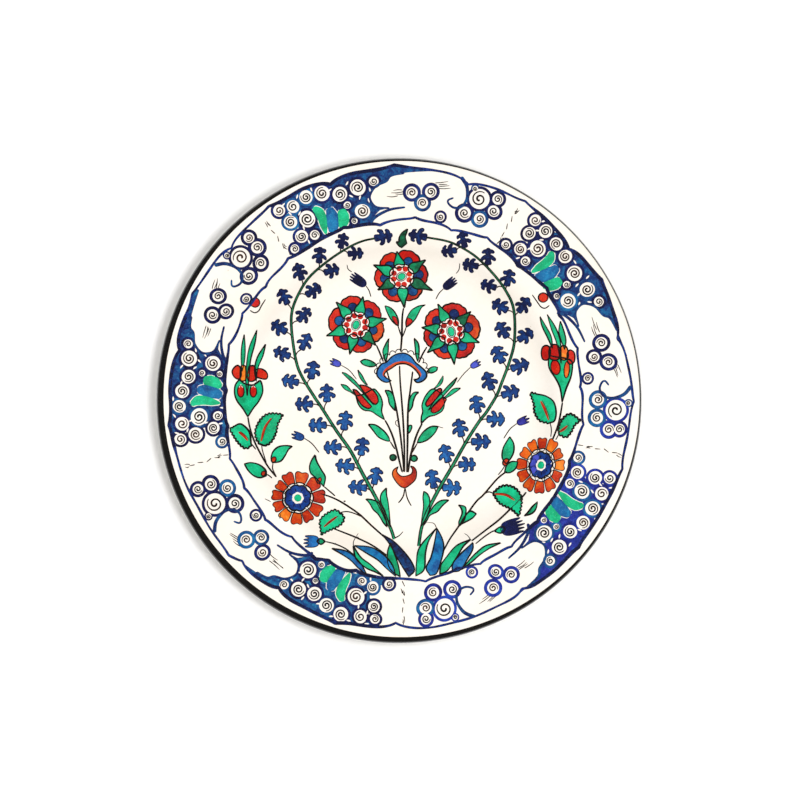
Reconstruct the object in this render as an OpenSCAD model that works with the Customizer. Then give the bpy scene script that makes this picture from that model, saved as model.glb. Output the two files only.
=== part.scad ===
// Hand painted ceramic plate: a thrown clay body on a foot ring, glazed on both sides,
// with its rim line and every colour of the painted pattern as thin raised layers.
// The plate rests on its foot ring. The origin is at the centre of the ring's lower face,
// +Z is up, out of the painted face, and +Y points to the top of the pattern.

/* [Plate] */
// Diameter over the rim
plate_d = 300; // [290:1:310]
// Thickness of the wall, both glazes included
wall = 6; // [5:0.1:7]
// Thickness of each glaze
glaze = 0.5; // [0.3:0.05:0.6]
// Height of the well's floor above the table
floor_z = 14; // [13:0.5:18]
// Radius of the flat floor of the well
floor_r = 72; // [71:0.5:74]
// Radius of the hollow bend from the floor to the wall
hollow_r = 40; // [36:1:44]
// Radius of the bend from the wall to the flange
shoulder_r = 30; // [26:1:32]
// Steepest slope of the wall
wall_slope = 34; // [30:1:36]
// Slope of the flange
flange_slope = 6; // [4:0.5:8]

/* [Foot ring] */
// Outer radius of the foot ring at the table
foot_r = 70; // [66:0.5:70]
// Width of the face that the plate rests on
foot_w = 5; // [4:0.5:6]
// How far each side of the foot ring leans
foot_lean = 0.8; // [0.4:0.1:1]

/* [Rim line] */
// Radius of the white circle inside the dark rim line
white_r = 147.1; // [146.5:0.1:147.3]
// How far off centre the painter set that circle, to the right
white_dx = 1.6; // [0:0.1:1.6]
// How far off centre the painter set that circle, upward
white_dy = 1.0; // [0:0.1:1]

/* [Paint] */
// Height of the paint above the glaze
paint = 0.25; // [0.2:0.05:0.5]
// Width of a drawn line
line_w = 1.3; // [1:0.1:1.6]

/* [Border] */
// Radius of the drawn line outside the wave border
outer_line_r = 140.6; // [140:0.1:141]
// Radius of the drawn line inside the wave border
inner_line_r = 108.8; // [108.5:0.1:109.2]
// Height of the points on those lines
line_point = 2.2; // [1:0.1:2.4]

/* [Flowers] */
// Radius of a rose
rose_r = 17; // [15:0.5:18]
// Radius of a side rosette
rosette_r = 15.5; // [14:0.5:16]
// Width of a hyacinth blossom
blossom_w = 9; // [8:0.5:9.5]
// Distance from a hyacinth stem to the centre of a blossom
blossom_reach = 7.4; // [7:0.2:8]

/* [Hidden] */

plate_r = plate_d / 2;
lip_r = wall / 2;
bend_steps = 5;
// The painter's own spacing of the five border repeats, as the angle of each shell
shell_angles = [112, 41.5, -33.5, -109.5, -181.5];

// ---- Section of the plate -------------------------------------------------------------
// Every layer is the face line moved along its normal by "rise": 0 is the glazed face,
// -wall is the glazed back.
function unit(a) = [cos(a), sin(a)];
function normal(slope) = [-sin(slope), cos(slope)];

hollow_centre = [floor_r, floor_z + hollow_r];
shoulder_centre = hollow_centre - (hollow_r + shoulder_r) * normal(wall_slope);
flange_start = shoulder_centre + shoulder_r * normal(flange_slope);
lip_reach = plate_r - lip_r;
lip_centre = [
    lip_reach,
    flange_start[1] + (lip_reach - flange_start[0]) * tan(flange_slope)
        - lip_r / cos(flange_slope)
];

function face_line(rise) = concat(
    [[0, floor_z + rise]],
    [for (i = [0 : bend_steps])
        hollow_centre - (hollow_r - rise) * normal(wall_slope * i / bend_steps)],
    [for (i = [0 : bend_steps])
        shoulder_centre + (shoulder_r + rise)
            * normal(wall_slope + (flange_slope - wall_slope) * i / bend_steps)],
    [lip_centre + (lip_r + rise) * normal(flange_slope)]
);

function reversed(points) = [for (i = [len(points) - 1 : -1 : 0]) points[i]];

function lip_arc(radius, from, to, steps = 8) = [
    for (i = [0 : steps]) lip_centre + radius * unit(from + (to - from) * i / steps)
];

function within(points, low_r, high_r) = [
    for (p = points) if (p[0] > low_r && p[0] < high_r) p
];

module turned(points) {
    rotate_extrude($fn = 180) polygon(points);
}

// ---- The clay and its glazes ----------------------------------------------------------
module clay_body() {
    color("#d9c8ab") turned(concat(
        face_line(-glaze),
        lip_arc(lip_r - glaze, 90 + flange_slope, flange_slope - 90),
        reversed(face_line(glaze - wall))
    ));
}

module foot_ring() {
    top = floor_z - wall + glaze;
    color("#cdb78f") turned([
        [foot_r - foot_w, 0],
        [foot_r, 0],
        [foot_r + foot_lean, top],
        [foot_r - foot_w - foot_lean, top]
    ]);
}

// The painter's circle, which the rim line is drawn up to
module white_circle(low_z) {
    translate([white_dx, white_dy, low_z]) cylinder(r = white_r, h = 40, $fn = 180);
}

module face_glaze() {
    color("#fbf6ea") intersection() {
        turned(concat(
            face_line(0),
            lip_arc(lip_r, 90 + flange_slope, 0),
            lip_arc(lip_r - glaze, 0, 90 + flange_slope),
            reversed(face_line(-glaze))
        ));
        white_circle(0);
    }
}

module back_glaze() {
    back = reversed(within(face_line(-wall), foot_r + foot_lean, plate_r));
    inner = within(face_line(glaze - wall), foot_r + foot_lean, plate_r);
    under = floor_z - wall;
    color("#f4eddc") turned(concat(
        back,
        [[foot_r + foot_lean, under], [foot_r + foot_lean, under + glaze]],
        inner
    ));
    color("#f4eddc") translate([0, 0, under])
        cylinder(r = foot_r - foot_w - foot_lean, h = glaze, $fn = 180);
}

module rim_line() {
    face_side = within(face_line(0), lip_reach - 4, plate_r);
    clay_side = within(face_line(-glaze), lip_reach - 4, plate_r);
    start_r = lip_reach - 3.6;
    start = flange_start + (start_r - flange_start[0]) / cos(flange_slope)
        * unit(flange_slope);
    color("#1a140d") difference() {
        turned(concat(
            [start],
            face_side,
            lip_arc(lip_r, 90 + flange_slope, flange_slope - 90),
            lip_arc(lip_r - glaze, flange_slope - 90, 90 + flange_slope),
            reversed(clay_side),
            [start - glaze * normal(flange_slope)]
        ));
        white_circle(lip_centre[1]);
    }
}

// ---- Drawing tools --------------------------------------------------------------------
// A layer of paint that follows the glazed face, cut to the drawing given as children.
// The whole drawing is centred on the painter's white circle.
module painted(shade) {
    color(shade) intersection() {
        turned(concat(face_line(paint), reversed(face_line(0))));
        translate([white_dx, white_dy, floor_z - 1]) linear_extrude(height = 30) children();
    }
}

function between(a, b, t) = a + (b - a) * t;
function left_of(v) = [-v[1], v[0]];
function heading(line, i) =
    let (d = line[min(i + 1, len(line) - 1)] - line[max(i - 1, 0)]) d / norm(d);

function bend(a, b, c, d, t) = 0.5 * (2 * b + (c - a) * t + (2 * a - 5 * b + 4 * c - d)
    * t * t + (3 * b - a - 3 * c + d) * t * t * t);

// A smooth line through the points given, and a ribbon of paint along a line
function smooth(p, steps = 4) = let (last = len(p) - 1) [
    for (i = [0 : last - 1])
        for (j = [0 : steps - 1])
            bend(p[max(i - 1, 0)], p[i], p[i + 1], p[min(i + 2, last)], j / steps),
    p[last]
];
function ribbon(line, start_w, end_w) = let (last = len(line) - 1) concat(
    [for (i = [0 : last])
        line[i] + left_of(heading(line, i)) * between(start_w, end_w, i / last) / 2],
    [for (i = [last : -1 : 0])
        line[i] - left_of(heading(line, i)) * between(start_w, end_w, i / last) / 2]
);

// A round outline with lobes, and a leaf from its base at the origin to its tip along +X
function lobed(radius, lobes, depth, per_lobe = 6) = [
    for (i = [0 : lobes * per_lobe - 1])
        let (a = i * 360 / (lobes * per_lobe))
            radius * (1 - depth + depth * abs(cos(a * lobes / 2))) * unit(a)
];
function leaf_side(length, width, side, steps = 5) = [
    for (i = [1 : steps - 1])
        [length * i / steps, side * width / 2 * sin(180 * pow(i / steps, 0.8))]
];
function leaf_outline(length, width) = concat(
    [[0, 0]], leaf_side(length, width, -1), [[length, 0]],
    reversed(leaf_side(length, width, 1))
);

module stroke(points, start_w = line_w, end_w = line_w) {
    polygon(ribbon(smooth(points), start_w, end_w));
}
module leaf(base, tip, width) {
    run = tip - base;
    translate(base) rotate(atan2(run[1], run[0])) polygon(leaf_outline(norm(run), width));
}

// ---- Border ---------------------------------------------------------------------------
// Fifteen shallow bows with a point where they meet
function bowed(radius, point) = [
    for (i = [0 : 15 * 8 - 1])
        let (a = i * 3, rise = point * pow(1 - abs(sin(7.5 * a)), 2))
            (radius + rise) * unit(a + 125.4)
];

module border_outer_line() {
    painted("#1c3f95") difference() {
        polygon(bowed(outer_line_r + line_w / 2, line_point));
        polygon(bowed(outer_line_r - line_w / 2, line_point));
    }
}

module border_inner_line() {
    painted("#1c3f95") difference() {
        polygon(bowed(inner_line_r + line_w / 2, -line_point));
        polygon(bowed(inner_line_r - line_w / 2, -line_point));
    }
}

// Spirals of one repeat: angle from the shell, distance from the plate's centre, radius
rock_spirals = [
    [12.2, 138.6, 3.4], [10.7, 129, 4.2], [10.3, 117.6, 4.4], [3.6, 136.4, 3.8],
    [-5.2, 136, 3.8], [-10.3, 131, 4.2], [-10.3, 118.7, 5]
];
drift_spirals = [
    [-24.8, 126, 4.5], [-30.3, 127.3, 4.5], [-27.6, 118.4, 3.8], [-35, 113.8, 3],
    [-43.2, 131.6, 5.6], [-48.4, 137, 3.2], [-49, 128.5, 3.6], [-45.8, 119.4, 3.9],
    [-40.6, 119, 3.9]
];

module spiral_ring(spiral) {
    translate(spiral[1] * unit(spiral[0])) difference() {
        circle(r = spiral[2], $fn = 36);
        circle(r = spiral[2] - 1, $fn = 36);
    }
}

module in_each_repeat() {
    for (angle = shell_angles) rotate(angle) children();
}

module wave_spirals() {
    painted("#16286e") in_each_repeat()
        for (spiral = concat(rock_spirals, drift_spirals)) spiral_ring(spiral);
}

// The sea between the spirals on each side of the shell
module wave_crests() {
    painted("#0c5a8c") in_each_repeat() difference() {
        union() {
            polygon(ribbon([for (i = [0 : 4]) between(111, 140, i / 4)
                * unit(9.4 + 0.7 * i)], 7, 9));
            polygon(ribbon([for (i = [0 : 4]) between(112, 138, i / 4)
                * unit(-9.4 - 0.6 * i)], 7, 9));
        }
        for (spiral = rock_spirals)
            translate(spiral[1] * unit(spiral[0])) circle(r = spiral[2] + 0.3, $fn = 36);
    }
}

// Three tapering stripes that fan out from the inner line
function shell_stripe(place) = [
    for (i = [0 : 4]) between(110.6, 129.5 + (place == 0 ? 1.5 : 0), i / 4)
        * unit(place * between(1.2, 2.4, i / 4) + 0.5 * sin(45 * i))
];

module shell_edge_stripes() {
    painted("#12996b") in_each_repeat()
        for (place = [-1, 1]) polygon(ribbon(shell_stripe(place), 1.6, 4));
}

module shell_middle_stripes() {
    painted("#1f5fbf") in_each_repeat() polygon(ribbon(shell_stripe(0), 1.4, 3.2));
}

// The line that closes each plain panel and curls back below it
module panel_tails() {
    painted("#1c3f95") in_each_repeat() {
        stroke([132 * unit(-15), 127 * unit(-16.6), 120 * unit(-17), 116 * unit(-20)], 1, 0.7);
        stroke([133 * unit(-37.4), 126 * unit(-36), 122 * unit(-37.4)], 1, 0.7);
    }
}

// ---- Roses ----------------------------------------------------------------------------
rose_places = [[0.3, 76], [-28, 45.5], [30.8, 41.8]];
rose_turns = [8, -17, 14];

module at_each_rose() {
    for (i = [0 : len(rose_places) - 1])
        translate(rose_places[i]) rotate(rose_turns[i]) children();
}

module rose_sepal(angle, extra = 0) {
    rotate(angle) translate([0.42 * rose_r, 0])
        polygon(leaf_outline(0.6 * rose_r, 0.28 * rose_r + extra));
}

module rose_petals() {
    painted("#d9230f") at_each_rose() difference() {
        rotate(30) polygon(lobed(rose_r * 0.97, 6, 0.2));
        circle(r = 0.5 * rose_r, $fn = 36);
        for (i = [0 : 5]) rose_sepal(60 * i, 0.6);
    }
}

module rose_sepals() {
    painted("#12a070") at_each_rose() difference() {
        for (i = [0 : 5]) rose_sepal(60 * i);
        circle(r = 0.5 * rose_r, $fn = 36);
    }
}

module rose_centres() {
    painted("#fffaf0") at_each_rose() polygon(lobed(0.45 * rose_r, 8, 0.12));
}

// ---- Hyacinths ------------------------------------------------------------------------
left_hyacinth = [
    [-4.6, -87], [-15.1, -63], [-31.8, -32], [-50.4, -4.3], [-62.1, 14.3],
    [-68.3, 42.7], [-64, 65], [-46, 85.3], [-24.4, 97.7]
];
right_hyacinth = [
    [10.5, -91.4], [23.8, -55], [40.5, -26], [52.8, -8], [62.1, 10],
    [70.1, 36.5], [64, 68], [46.4, 87.8], [28.1, 97.7]
];

module hyacinth_stems() {
    painted("#146b4c") {
        stroke(left_hyacinth, 2.6, 1);
        stroke(right_hyacinth, 2.6, 1);
    }
}

// A bell with three curled lobes, opening away from the stem along +X
function bell() = [
    for (i = [0 : 17]) let (a = i * 20, w = blossom_w / 2)
        [w * 1.1 * cos(a), w * sin(a) * (0.8 + 0.2 * cos(a))
            * (1 - 0.18 * abs(cos(1.5 * a)))]
];

// Blossoms on one side of a stem, the first at "first" mm along it and the rest "pitch" apart
function length_to(line, i) = i == 0 ? 0 : length_to(line, i - 1) + norm(line[i] - line[i - 1]);
module blossom_row(stem, side, first, pitch, count) {
    line = smooth(stem, 16);
    lengths = [for (i = [0 : len(line) - 1]) length_to(line, i)];
    for (n = [0 : count - 1]) {
        at = max([for (i = [0 : len(line) - 1]) if (lengths[i] <= first + pitch * n) i]);
        reach = blossom_reach - 2.4 * pow(n / (count - 1), 2);
        way = left_of(heading(line, at)) * side;
        translate(line[at] + way * reach) rotate(atan2(way[1], way[0])) polygon(bell());
    }
}

module hyacinth_blossoms_left() {
    painted("#14327a") {
        blossom_row(left_hyacinth, 1, 38.7, 15.7, 11);
        blossom_row(left_hyacinth, -1, 40.2, 19.4, 10);
        translate([-15.9, 99.6]) rotate(10) polygon(bell());
    }
}

module hyacinth_blossoms_right() {
    painted("#14327a") {
        blossom_row(right_hyacinth, 1, 41.5, 17.8, 10);
        blossom_row(right_hyacinth, -1, 42.4, 17.4, 11);
        translate([14.8, 100.2]) rotate(170) polygon(bell());
    }
}

// ---- Vase, its stems and the cloud band -----------------------------------------------
module both_sides() {
    children();
    mirror([1, 0]) children();
}

module vase() {
    painted("#d9401a") difference() {
        polygon([
            [-7.6, -41.5], [-4.6, -45], [0, -46.4], [4.6, -45], [7.6, -41.5],
            [7.2, -48], [4.5, -52.5], [0, -55.2], [-4.5, -52.5], [-7.2, -48]
        ]);
        translate([0, -49.6]) circle(r = 1.8, $fn = 24);
    }
}

module vase_stems() {
    painted("#146b4c") {
        stroke([[0.5, 56], [0.2, 20], [0.4, -5], [1.6, -46.5]], 1.2, 1.4);
        stroke([[-16, 34], [-11, 22], [-5.5, 4], [-1.2, -46.4]], 1, 1.2);
        stroke([[16, 32], [10.8, 22], [5.6, 2.5], [4.4, -45]], 1, 1.2);
    }
}

// A crescent with its ends curled in, open at the bottom
module cloud_band() {
    painted("#1f5fbf") difference() {
        polygon(ribbon([for (i = [0 : 12]) [14 * cos(-38 + 256 * i / 12),
            19 + 9.5 * sin(-38 + 256 * i / 12)]], 5.4, 5.4));
        for (line_x = [-10.2, 0.2, 10]) translate([line_x - 1.2, 10]) square([2.4, 25]);
    }
}

module stem_leaves() {
    painted("#12996b") {
        leaf([0, 93.5], [3.6, 105], 6);
        both_sides() {
            leaf([1.2, 38.5], [12, 58.4], 5.4);
            leaf([6.6, -7], [10.6, 5], 4);
            leaf([8, -36], [6.6, -38.4], 3);
            leaf([17.6, 20], [25, 21.6], 4);
        }
        leaf([-8, -78], [-22.5, -62.4], 4);
        leaf([-7, -79], [-9.6, -56], 4);
        leaf([10.6, -79], [14, -58], 4);
        leaf([13.6, -79], [29.4, -63], 4);
    }
}

// ---- Side rosettes --------------------------------------------------------------------
rosette_places = [[-64, -61], [86.3, -41]];

module at_each_rosette() {
    for (place = rosette_places) translate(place) children();
}

module side_rosette_petals() {
    painted("#d94a10") at_each_rosette() difference() {
        polygon(lobed(rosette_r, 12, 0.14));
        circle(r = 0.56 * rosette_r, $fn = 36);
    }
}

module side_rosette_rings() {
    painted("#3a49a8") at_each_rosette() difference() {
        circle(r = 0.48 * rosette_r, $fn = 36);
        circle(r = 0.32 * rosette_r, $fn = 36);
    }
}

module side_rosette_eyes() {
    painted("#12a070") at_each_rosette() circle(r = 0.2 * rosette_r, $fn = 24);
}

// ---- Tulips ---------------------------------------------------------------------------
// Each tulip: the foot of its flower, the angle it points at, and its size
tulips = [
    [[-95.2, -10.4], 92, 1], [[98.8, -0.6], 91, 1],
    [[-11, -13], 133, 0.72], [[12.6, -14.8], 52, 0.66]
];

module at_each_tulip() {
    for (tulip = tulips)
        translate(tulip[0]) rotate(tulip[1] - 90) scale([tulip[2], tulip[2]]) children();
}

module tulip_petals() {
    painted("#d9230f") at_each_tulip() polygon([
        [-6, 20.4], [-10.4, 28], [-5.4, 30.4], [0, 32.4], [5.4, 30.4], [10.4, 28], [6, 20.4]
    ]);
}

module tulip_leaves() {
    painted("#12996b") at_each_tulip() {
        polygon([[-2, 0], [2, 0], [7.4, 9], [6.4, 20], [-6.4, 20], [-7.4, 9]]);
        leaf([-4, 33], [-6, 50], 2.6);
        leaf([1, 34], [1.6, 52], 2.6);
        leaf([6, 33], [9, 47], 2.6);
    }
}

module tulip_stems() {
    painted("#146b4c") {
        stroke([[-95, -12.2], [-92, -26], [-87, -38], [-79, -47.4]], 1.2, 1.2);
        stroke([[99, -2.4], [98.6, -14], [92.4, -25.4]], 1.2, 1.2);
        stroke([[-50, -59.2], [-37, -64], [-24, -73], [-13.4, -82]], 1.2, 1.6);
        stroke([[71, -41], [62, -47], [49.4, -59.4], [28, -92]], 1.2, 1.6);
    }
}

module serrated_leaf(base, tip, width) {
    run = tip - base;
    long = norm(run);
    steps = 10;
    edge = [for (i = [1 : steps - 1]) [long * i / steps,
        width / 2 * sin(180 * pow(i / steps, 0.8)) * (i % 2 == 0 ? 0.86 : 1.06)]];
    translate(base) rotate(atan2(run[1], run[0]))
        polygon(concat([[0, 0]], [for (p = edge) [p[0], -p[1]]], [[long, 0]],
            reversed(edge)));
}

module serrated_leaves() {
    painted("#128a62") {
        serrated_leaf([-91, -31], [-106, -15.4], 13);
        serrated_leaf([-91, -26], [-74.4, -9.4], 12);
        serrated_leaf([98, -25], [82, -3], 13);
        serrated_leaf([97.6, -12.4], [109.4, -14.4], 8);
        serrated_leaf([-37, -72], [-51.6, -83.6], 12);
        serrated_leaf([72, -71.6], [60.6, -55], 12);
    }
}

// ---- Buds, berries and the tuft at the bottom -----------------------------------------
module blue_buds() {
    painted("#14327a") {
        leaf([-42, -91.4], [-58, -86.6], 11);
        leaf([57.8, -82], [75, -74], 10);
        both_sides() leaf([-35.4, 19], [-43, 25.6], 8);
        leaf([-62, -16], [-66.6, -23.6], 7);
        leaf([73, -6.4], [77.4, -15], 7);
        leaf([-28.6, 71], [-24.4, 77], 6);
        leaf([27.4, 70], [33.4, 76], 6);
    }
}

module red_berries() {
    painted("#d9230f") {
        translate([-90.8, 59.4]) circle(r = 3, $fn = 24);
        translate([87.4, 62.4]) circle(r = 3, $fn = 24);
    }
}

// Each blade: its tip and its base, from left to right
tuft_blades = [
    [[-42.3, -92.6], [-15, -104.6]], [[-25, -91], [-9.4, -106]], [[-6.4, -88], [-1.4, -106]],
    [[21.4, -81], [9.4, -106.6]], [[42.3, -87], [18.4, -105.6]], [[61.4, -89], [30, -103]]
];

module grass_tuft() {
    painted("#12809a") for (blade = tuft_blades) leaf(blade[1], blade[0], 5.6);
}

clay_body();
foot_ring();
face_glaze();
back_glaze();
rim_line();
border_outer_line();
border_inner_line();
wave_spirals();
wave_crests();
shell_edge_stripes();
shell_middle_stripes();
panel_tails();
rose_petals();
rose_sepals();
rose_centres();
hyacinth_stems();
hyacinth_blossoms_left();
hyacinth_blossoms_right();
vase_stems();
vase();
cloud_band();
stem_leaves();
side_rosette_petals();
side_rosette_rings();
side_rosette_eyes();
tulip_petals();
tulip_leaves();
tulip_stems();
serrated_leaves();
blue_buds();
red_berries();
grass_tuft();
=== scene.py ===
import math
import random

import bpy
import numpy as np
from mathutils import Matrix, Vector
from mathutils.geometry import delaunay_2d_cdt


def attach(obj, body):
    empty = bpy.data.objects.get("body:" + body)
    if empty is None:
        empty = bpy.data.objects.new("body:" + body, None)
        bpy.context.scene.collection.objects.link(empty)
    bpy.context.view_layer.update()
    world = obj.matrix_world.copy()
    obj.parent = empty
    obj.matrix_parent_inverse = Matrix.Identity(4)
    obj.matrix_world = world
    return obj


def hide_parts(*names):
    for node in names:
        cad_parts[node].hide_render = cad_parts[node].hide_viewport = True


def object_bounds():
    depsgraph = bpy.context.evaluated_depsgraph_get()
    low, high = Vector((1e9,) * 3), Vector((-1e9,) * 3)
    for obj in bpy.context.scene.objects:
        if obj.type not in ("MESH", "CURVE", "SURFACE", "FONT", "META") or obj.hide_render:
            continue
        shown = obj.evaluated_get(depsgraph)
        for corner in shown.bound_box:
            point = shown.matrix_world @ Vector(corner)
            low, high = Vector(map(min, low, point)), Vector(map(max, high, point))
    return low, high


# A hand painted ceramic plate. The plate is drawn in millimetres, seen from above with +Y to the
# top of the pattern, and is turned into metres when a mesh is made. The floor, the lights and
# the camera are placed in metres.
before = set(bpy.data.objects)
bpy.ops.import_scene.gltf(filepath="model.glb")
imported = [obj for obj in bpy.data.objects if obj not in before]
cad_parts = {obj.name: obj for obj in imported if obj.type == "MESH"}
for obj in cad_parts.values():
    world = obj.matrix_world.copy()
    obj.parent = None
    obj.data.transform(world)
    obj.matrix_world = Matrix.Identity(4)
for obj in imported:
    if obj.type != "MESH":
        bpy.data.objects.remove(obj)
CAD_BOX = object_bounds()
MM = 0.001

# ---- Section of the plate, as in the frame ------------------------------------------------
PLATE_R = 1000 * (CAD_BOX[1][0] - CAD_BOX[0][0]) / 2
WALL = 6.0
GLAZE = 0.5
FLOOR_Z = 14.0
FLOOR_R = 72.0
HOLLOW_R = 40.0
SHOULDER_R = 30.0
WALL_SLOPE = math.radians(34)
FLANGE_SLOPE = math.radians(6)
FOOT_R = 70.0
FOOT_W = 5.0
FOOT_LEAN = 0.8
LIP_R = WALL / 2
TURNS = 288

# The painter's white circle, which is a little off the plate's own centre.
WHITE_R = 147.1
WHITE_CENTRE = np.array([1.6, 1.0])

SHOULDER_CENTRE = (
    FLOOR_R + (HOLLOW_R + SHOULDER_R) * math.sin(WALL_SLOPE),
    FLOOR_Z + HOLLOW_R - (HOLLOW_R + SHOULDER_R) * math.cos(WALL_SLOPE),
)
FLANGE_R = SHOULDER_CENTRE[0] - SHOULDER_R * math.sin(FLANGE_SLOPE)
FLANGE_Z = SHOULDER_CENTRE[1] + SHOULDER_R * math.cos(FLANGE_SLOPE)
LIP_CENTRE_R = PLATE_R - LIP_R
LIP_CENTRE_Z = (
    FLANGE_Z + (LIP_CENTRE_R - FLANGE_R) * math.tan(FLANGE_SLOPE) - LIP_R / math.cos(FLANGE_SLOPE)
)
LIP_START_R = LIP_CENTRE_R - LIP_R * math.sin(FLANGE_SLOPE)


def section_height(r, rise=0.0):
    """Height of the face at a distance r from the axis, moved "rise" along its normal."""
    r = np.asarray(r, float)
    hollow = FLOOR_Z + HOLLOW_R - np.sqrt(
        np.maximum((HOLLOW_R - rise) ** 2 - (r - FLOOR_R) ** 2, 0)
    )
    shoulder = SHOULDER_CENTRE[1] + np.sqrt(
        np.maximum((SHOULDER_R + rise) ** 2 - (r - SHOULDER_CENTRE[0]) ** 2, 0)
    )
    flange = FLANGE_Z + (r - FLANGE_R) * math.tan(FLANGE_SLOPE) + rise / math.cos(FLANGE_SLOPE)
    lip = LIP_CENTRE_Z + np.sqrt(np.maximum((LIP_R + rise) ** 2 - (r - LIP_CENTRE_R) ** 2, 0))
    height = np.where(r <= FLOOR_R, FLOOR_Z + rise, hollow)
    height = np.where(r > FLOOR_R + (HOLLOW_R - rise) * math.sin(WALL_SLOPE), shoulder, height)
    height = np.where(r > FLANGE_R - rise * math.sin(FLANGE_SLOPE), flange, height)
    return np.where(r > LIP_CENTRE_R - (LIP_R + rise) * math.sin(FLANGE_SLOPE), lip, height)


def hand_thrown(x, y):
    """The slight waves that the potter's fingers leave in the face."""
    r = np.hypot(x, y)
    turn = np.arctan2(y, x)
    rings = 0.018 * np.sin(r / 1.9 + 0.8 * np.sin(turn))
    sway = 0.07 * (r / PLATE_R) ** 2 * np.sin(2 * turn + 0.7)
    return rings + sway


def face_height(x, y):
    return section_height(np.hypot(x, y)) + hand_thrown(x, y)


# ---- Meshes -------------------------------------------------------------------------------
SHARP = math.radians(50)


def make_object(name, points, faces, tone=None, edge=None):
    """A mesh object from points in millimetres, smooth but for its sharp edges."""
    mesh = bpy.data.meshes.new(name)
    mesh.from_pydata((np.asarray(points, float) * MM).tolist(), [], faces)
    for key, values in (("tone", tone), ("edge", edge)):
        if values is not None:
            mesh.attributes.new(key, "FLOAT", "POINT").data.foreach_set("value", values)
    mesh.validate()
    mesh.shade_smooth()
    mesh.set_sharp_from_angle(angle=SHARP)
    thing = bpy.data.objects.new(name, mesh)
    bpy.context.collection.objects.link(thing)
    return thing


def grid_faces(rows, columns, wrap_rows=False):
    """Quads between the rows of points, each row a closed ring of "columns" points."""
    faces = []
    for i in range(rows if wrap_rows else rows - 1):
        low, high = i * columns, (i + 1) % rows * columns
        for j in range(columns):
            k = (j + 1) % columns
            faces.append((low + j, low + k, high + k, high + j))
    return faces


def turned(name, section):
    """A closed section, in (r, z) going round it, turned round the plate's axis."""
    angles = np.linspace(0, 2 * np.pi, TURNS, endpoint=False)
    section = np.asarray(section, float)
    rings = [
        np.column_stack([r * np.cos(angles), r * np.sin(angles), np.full(TURNS, z)])
        for r, z in section
    ]
    return make_object(name, np.concatenate(rings), grid_faces(len(section), TURNS, True))


def capped(rings):
    """Faces of a skin whose first and last rings are closed by a flat cap."""
    count = len(rings[0])
    faces = grid_faces(len(rings), count)
    first = tuple(range(count - 1, -1, -1))
    last = tuple(range((len(rings) - 1) * count, len(rings) * count))
    return faces + [first, last]


# ---- Curves -------------------------------------------------------------------------------
STEP = 0.7  # between the points of a drawn line
PER_SPAN = 10


def dense(points, closed):
    """A smooth curve through the points."""
    p = np.asarray(points, float)
    if closed:
        before, after, far = np.roll(p, 1, 0), np.roll(p, -1, 0), np.roll(p, -2, 0)
        start = p
    else:
        padded = np.concatenate([2 * p[:1] - p[1:2], p, 2 * p[-1:] - p[-2:-1]])
        before, start, after, far = padded[:-3], padded[1:-2], padded[2:-1], padded[3:]
    t = np.linspace(0, 1, PER_SPAN, endpoint=False)[None, :, None]
    before, start, after, far = (q[:, None, :] for q in (before, start, after, far))
    curve = 0.5 * (
        2 * start
        + (after - before) * t
        + (2 * before - 5 * start + 4 * after - far) * t**2
        + (3 * start - before - 3 * after + far) * t**3
    )
    curve = curve.reshape(-1, 2)
    return curve if closed else np.concatenate([curve, p[-1:]])


def evenly(line, step, closed=False):
    """The same line with points about "step" apart."""
    line = np.asarray(line, float)
    if closed:
        line = np.concatenate([line, line[:1]])
    along = np.concatenate([[0], np.cumsum(np.hypot(*np.diff(line, axis=0).T))])
    count = max(4 if closed else 2, int(round(along[-1] / step)) + 1)
    at = np.linspace(0, along[-1], count)
    even = np.column_stack([np.interp(at, along, line[:, k]) for k in (0, 1)])
    return even[:-1] if closed else even


def smooth(points, step=STEP, closed=False):
    return evenly(dense(points, closed), step, closed)


def joined(*parts):
    """A closed outline from several smooth parts, which meet in sharp corners."""
    return np.concatenate([smooth(part)[:-1] for part in parts])


def turn(points, angle, centre):
    """The points, turned by an angle and moved to a centre."""
    c, s = math.cos(angle), math.sin(angle)
    return np.asarray(points, float) @ np.array([[c, s], [-s, c]]) + np.asarray(centre)


def direction(degrees):
    return np.array([math.cos(math.radians(degrees)), math.sin(math.radians(degrees))])


def ring(centre, radius, count=28, squash=1.0, angle=0.0):
    a = np.linspace(0, 2 * np.pi, count, endpoint=False)
    circle = np.column_stack([radius * np.cos(a), radius * squash * np.sin(a)])
    return turn(circle, angle, centre)


def lobed(centre, radius, lobes, depth, start=0.0):
    a = np.linspace(0, 2 * np.pi, lobes * 9, endpoint=False)
    r = radius * (1 - depth + depth * np.abs(np.cos((a - start) * lobes / 2)) ** 0.7)
    return np.column_stack([r * np.cos(a), r * np.sin(a)]) + np.asarray(centre)


def inside(points, loop):
    """Which points lie inside the loop."""
    x, y = points[:, :1], points[:, 1:]
    (x0, y0), (x1, y1) = loop.T, np.roll(loop, -1, 0).T
    spans = (y0 > y) != (y1 > y)
    with np.errstate(divide="ignore", invalid="ignore"):
        crossings = (spans & (x < (x1 - x0) * (y - y0) / (y1 - y0) + x0)).sum(1)
    return crossings % 2 == 1


def nearest(points, loop):
    """Distance from each point to the loop's own points."""
    return np.sqrt(((points[:, None, :] - loop[None]) ** 2).sum(2).min(1))


# ---- Paint --------------------------------------------------------------------------------
SINK = 0.12  # how far the paint's underside lies below the face
GRID = 1.7  # between the points inside a patch
CLEAR = 0.62  # share of a step kept free between those points and the outline
CROWN = 0.03  # how far a patch drops towards its outline
STROKE_DROP = 0.045  # the same for a brush stroke's two sides
POOL_W = 1.4  # width of the darker edge of a patch
PAINTS = []


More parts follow.
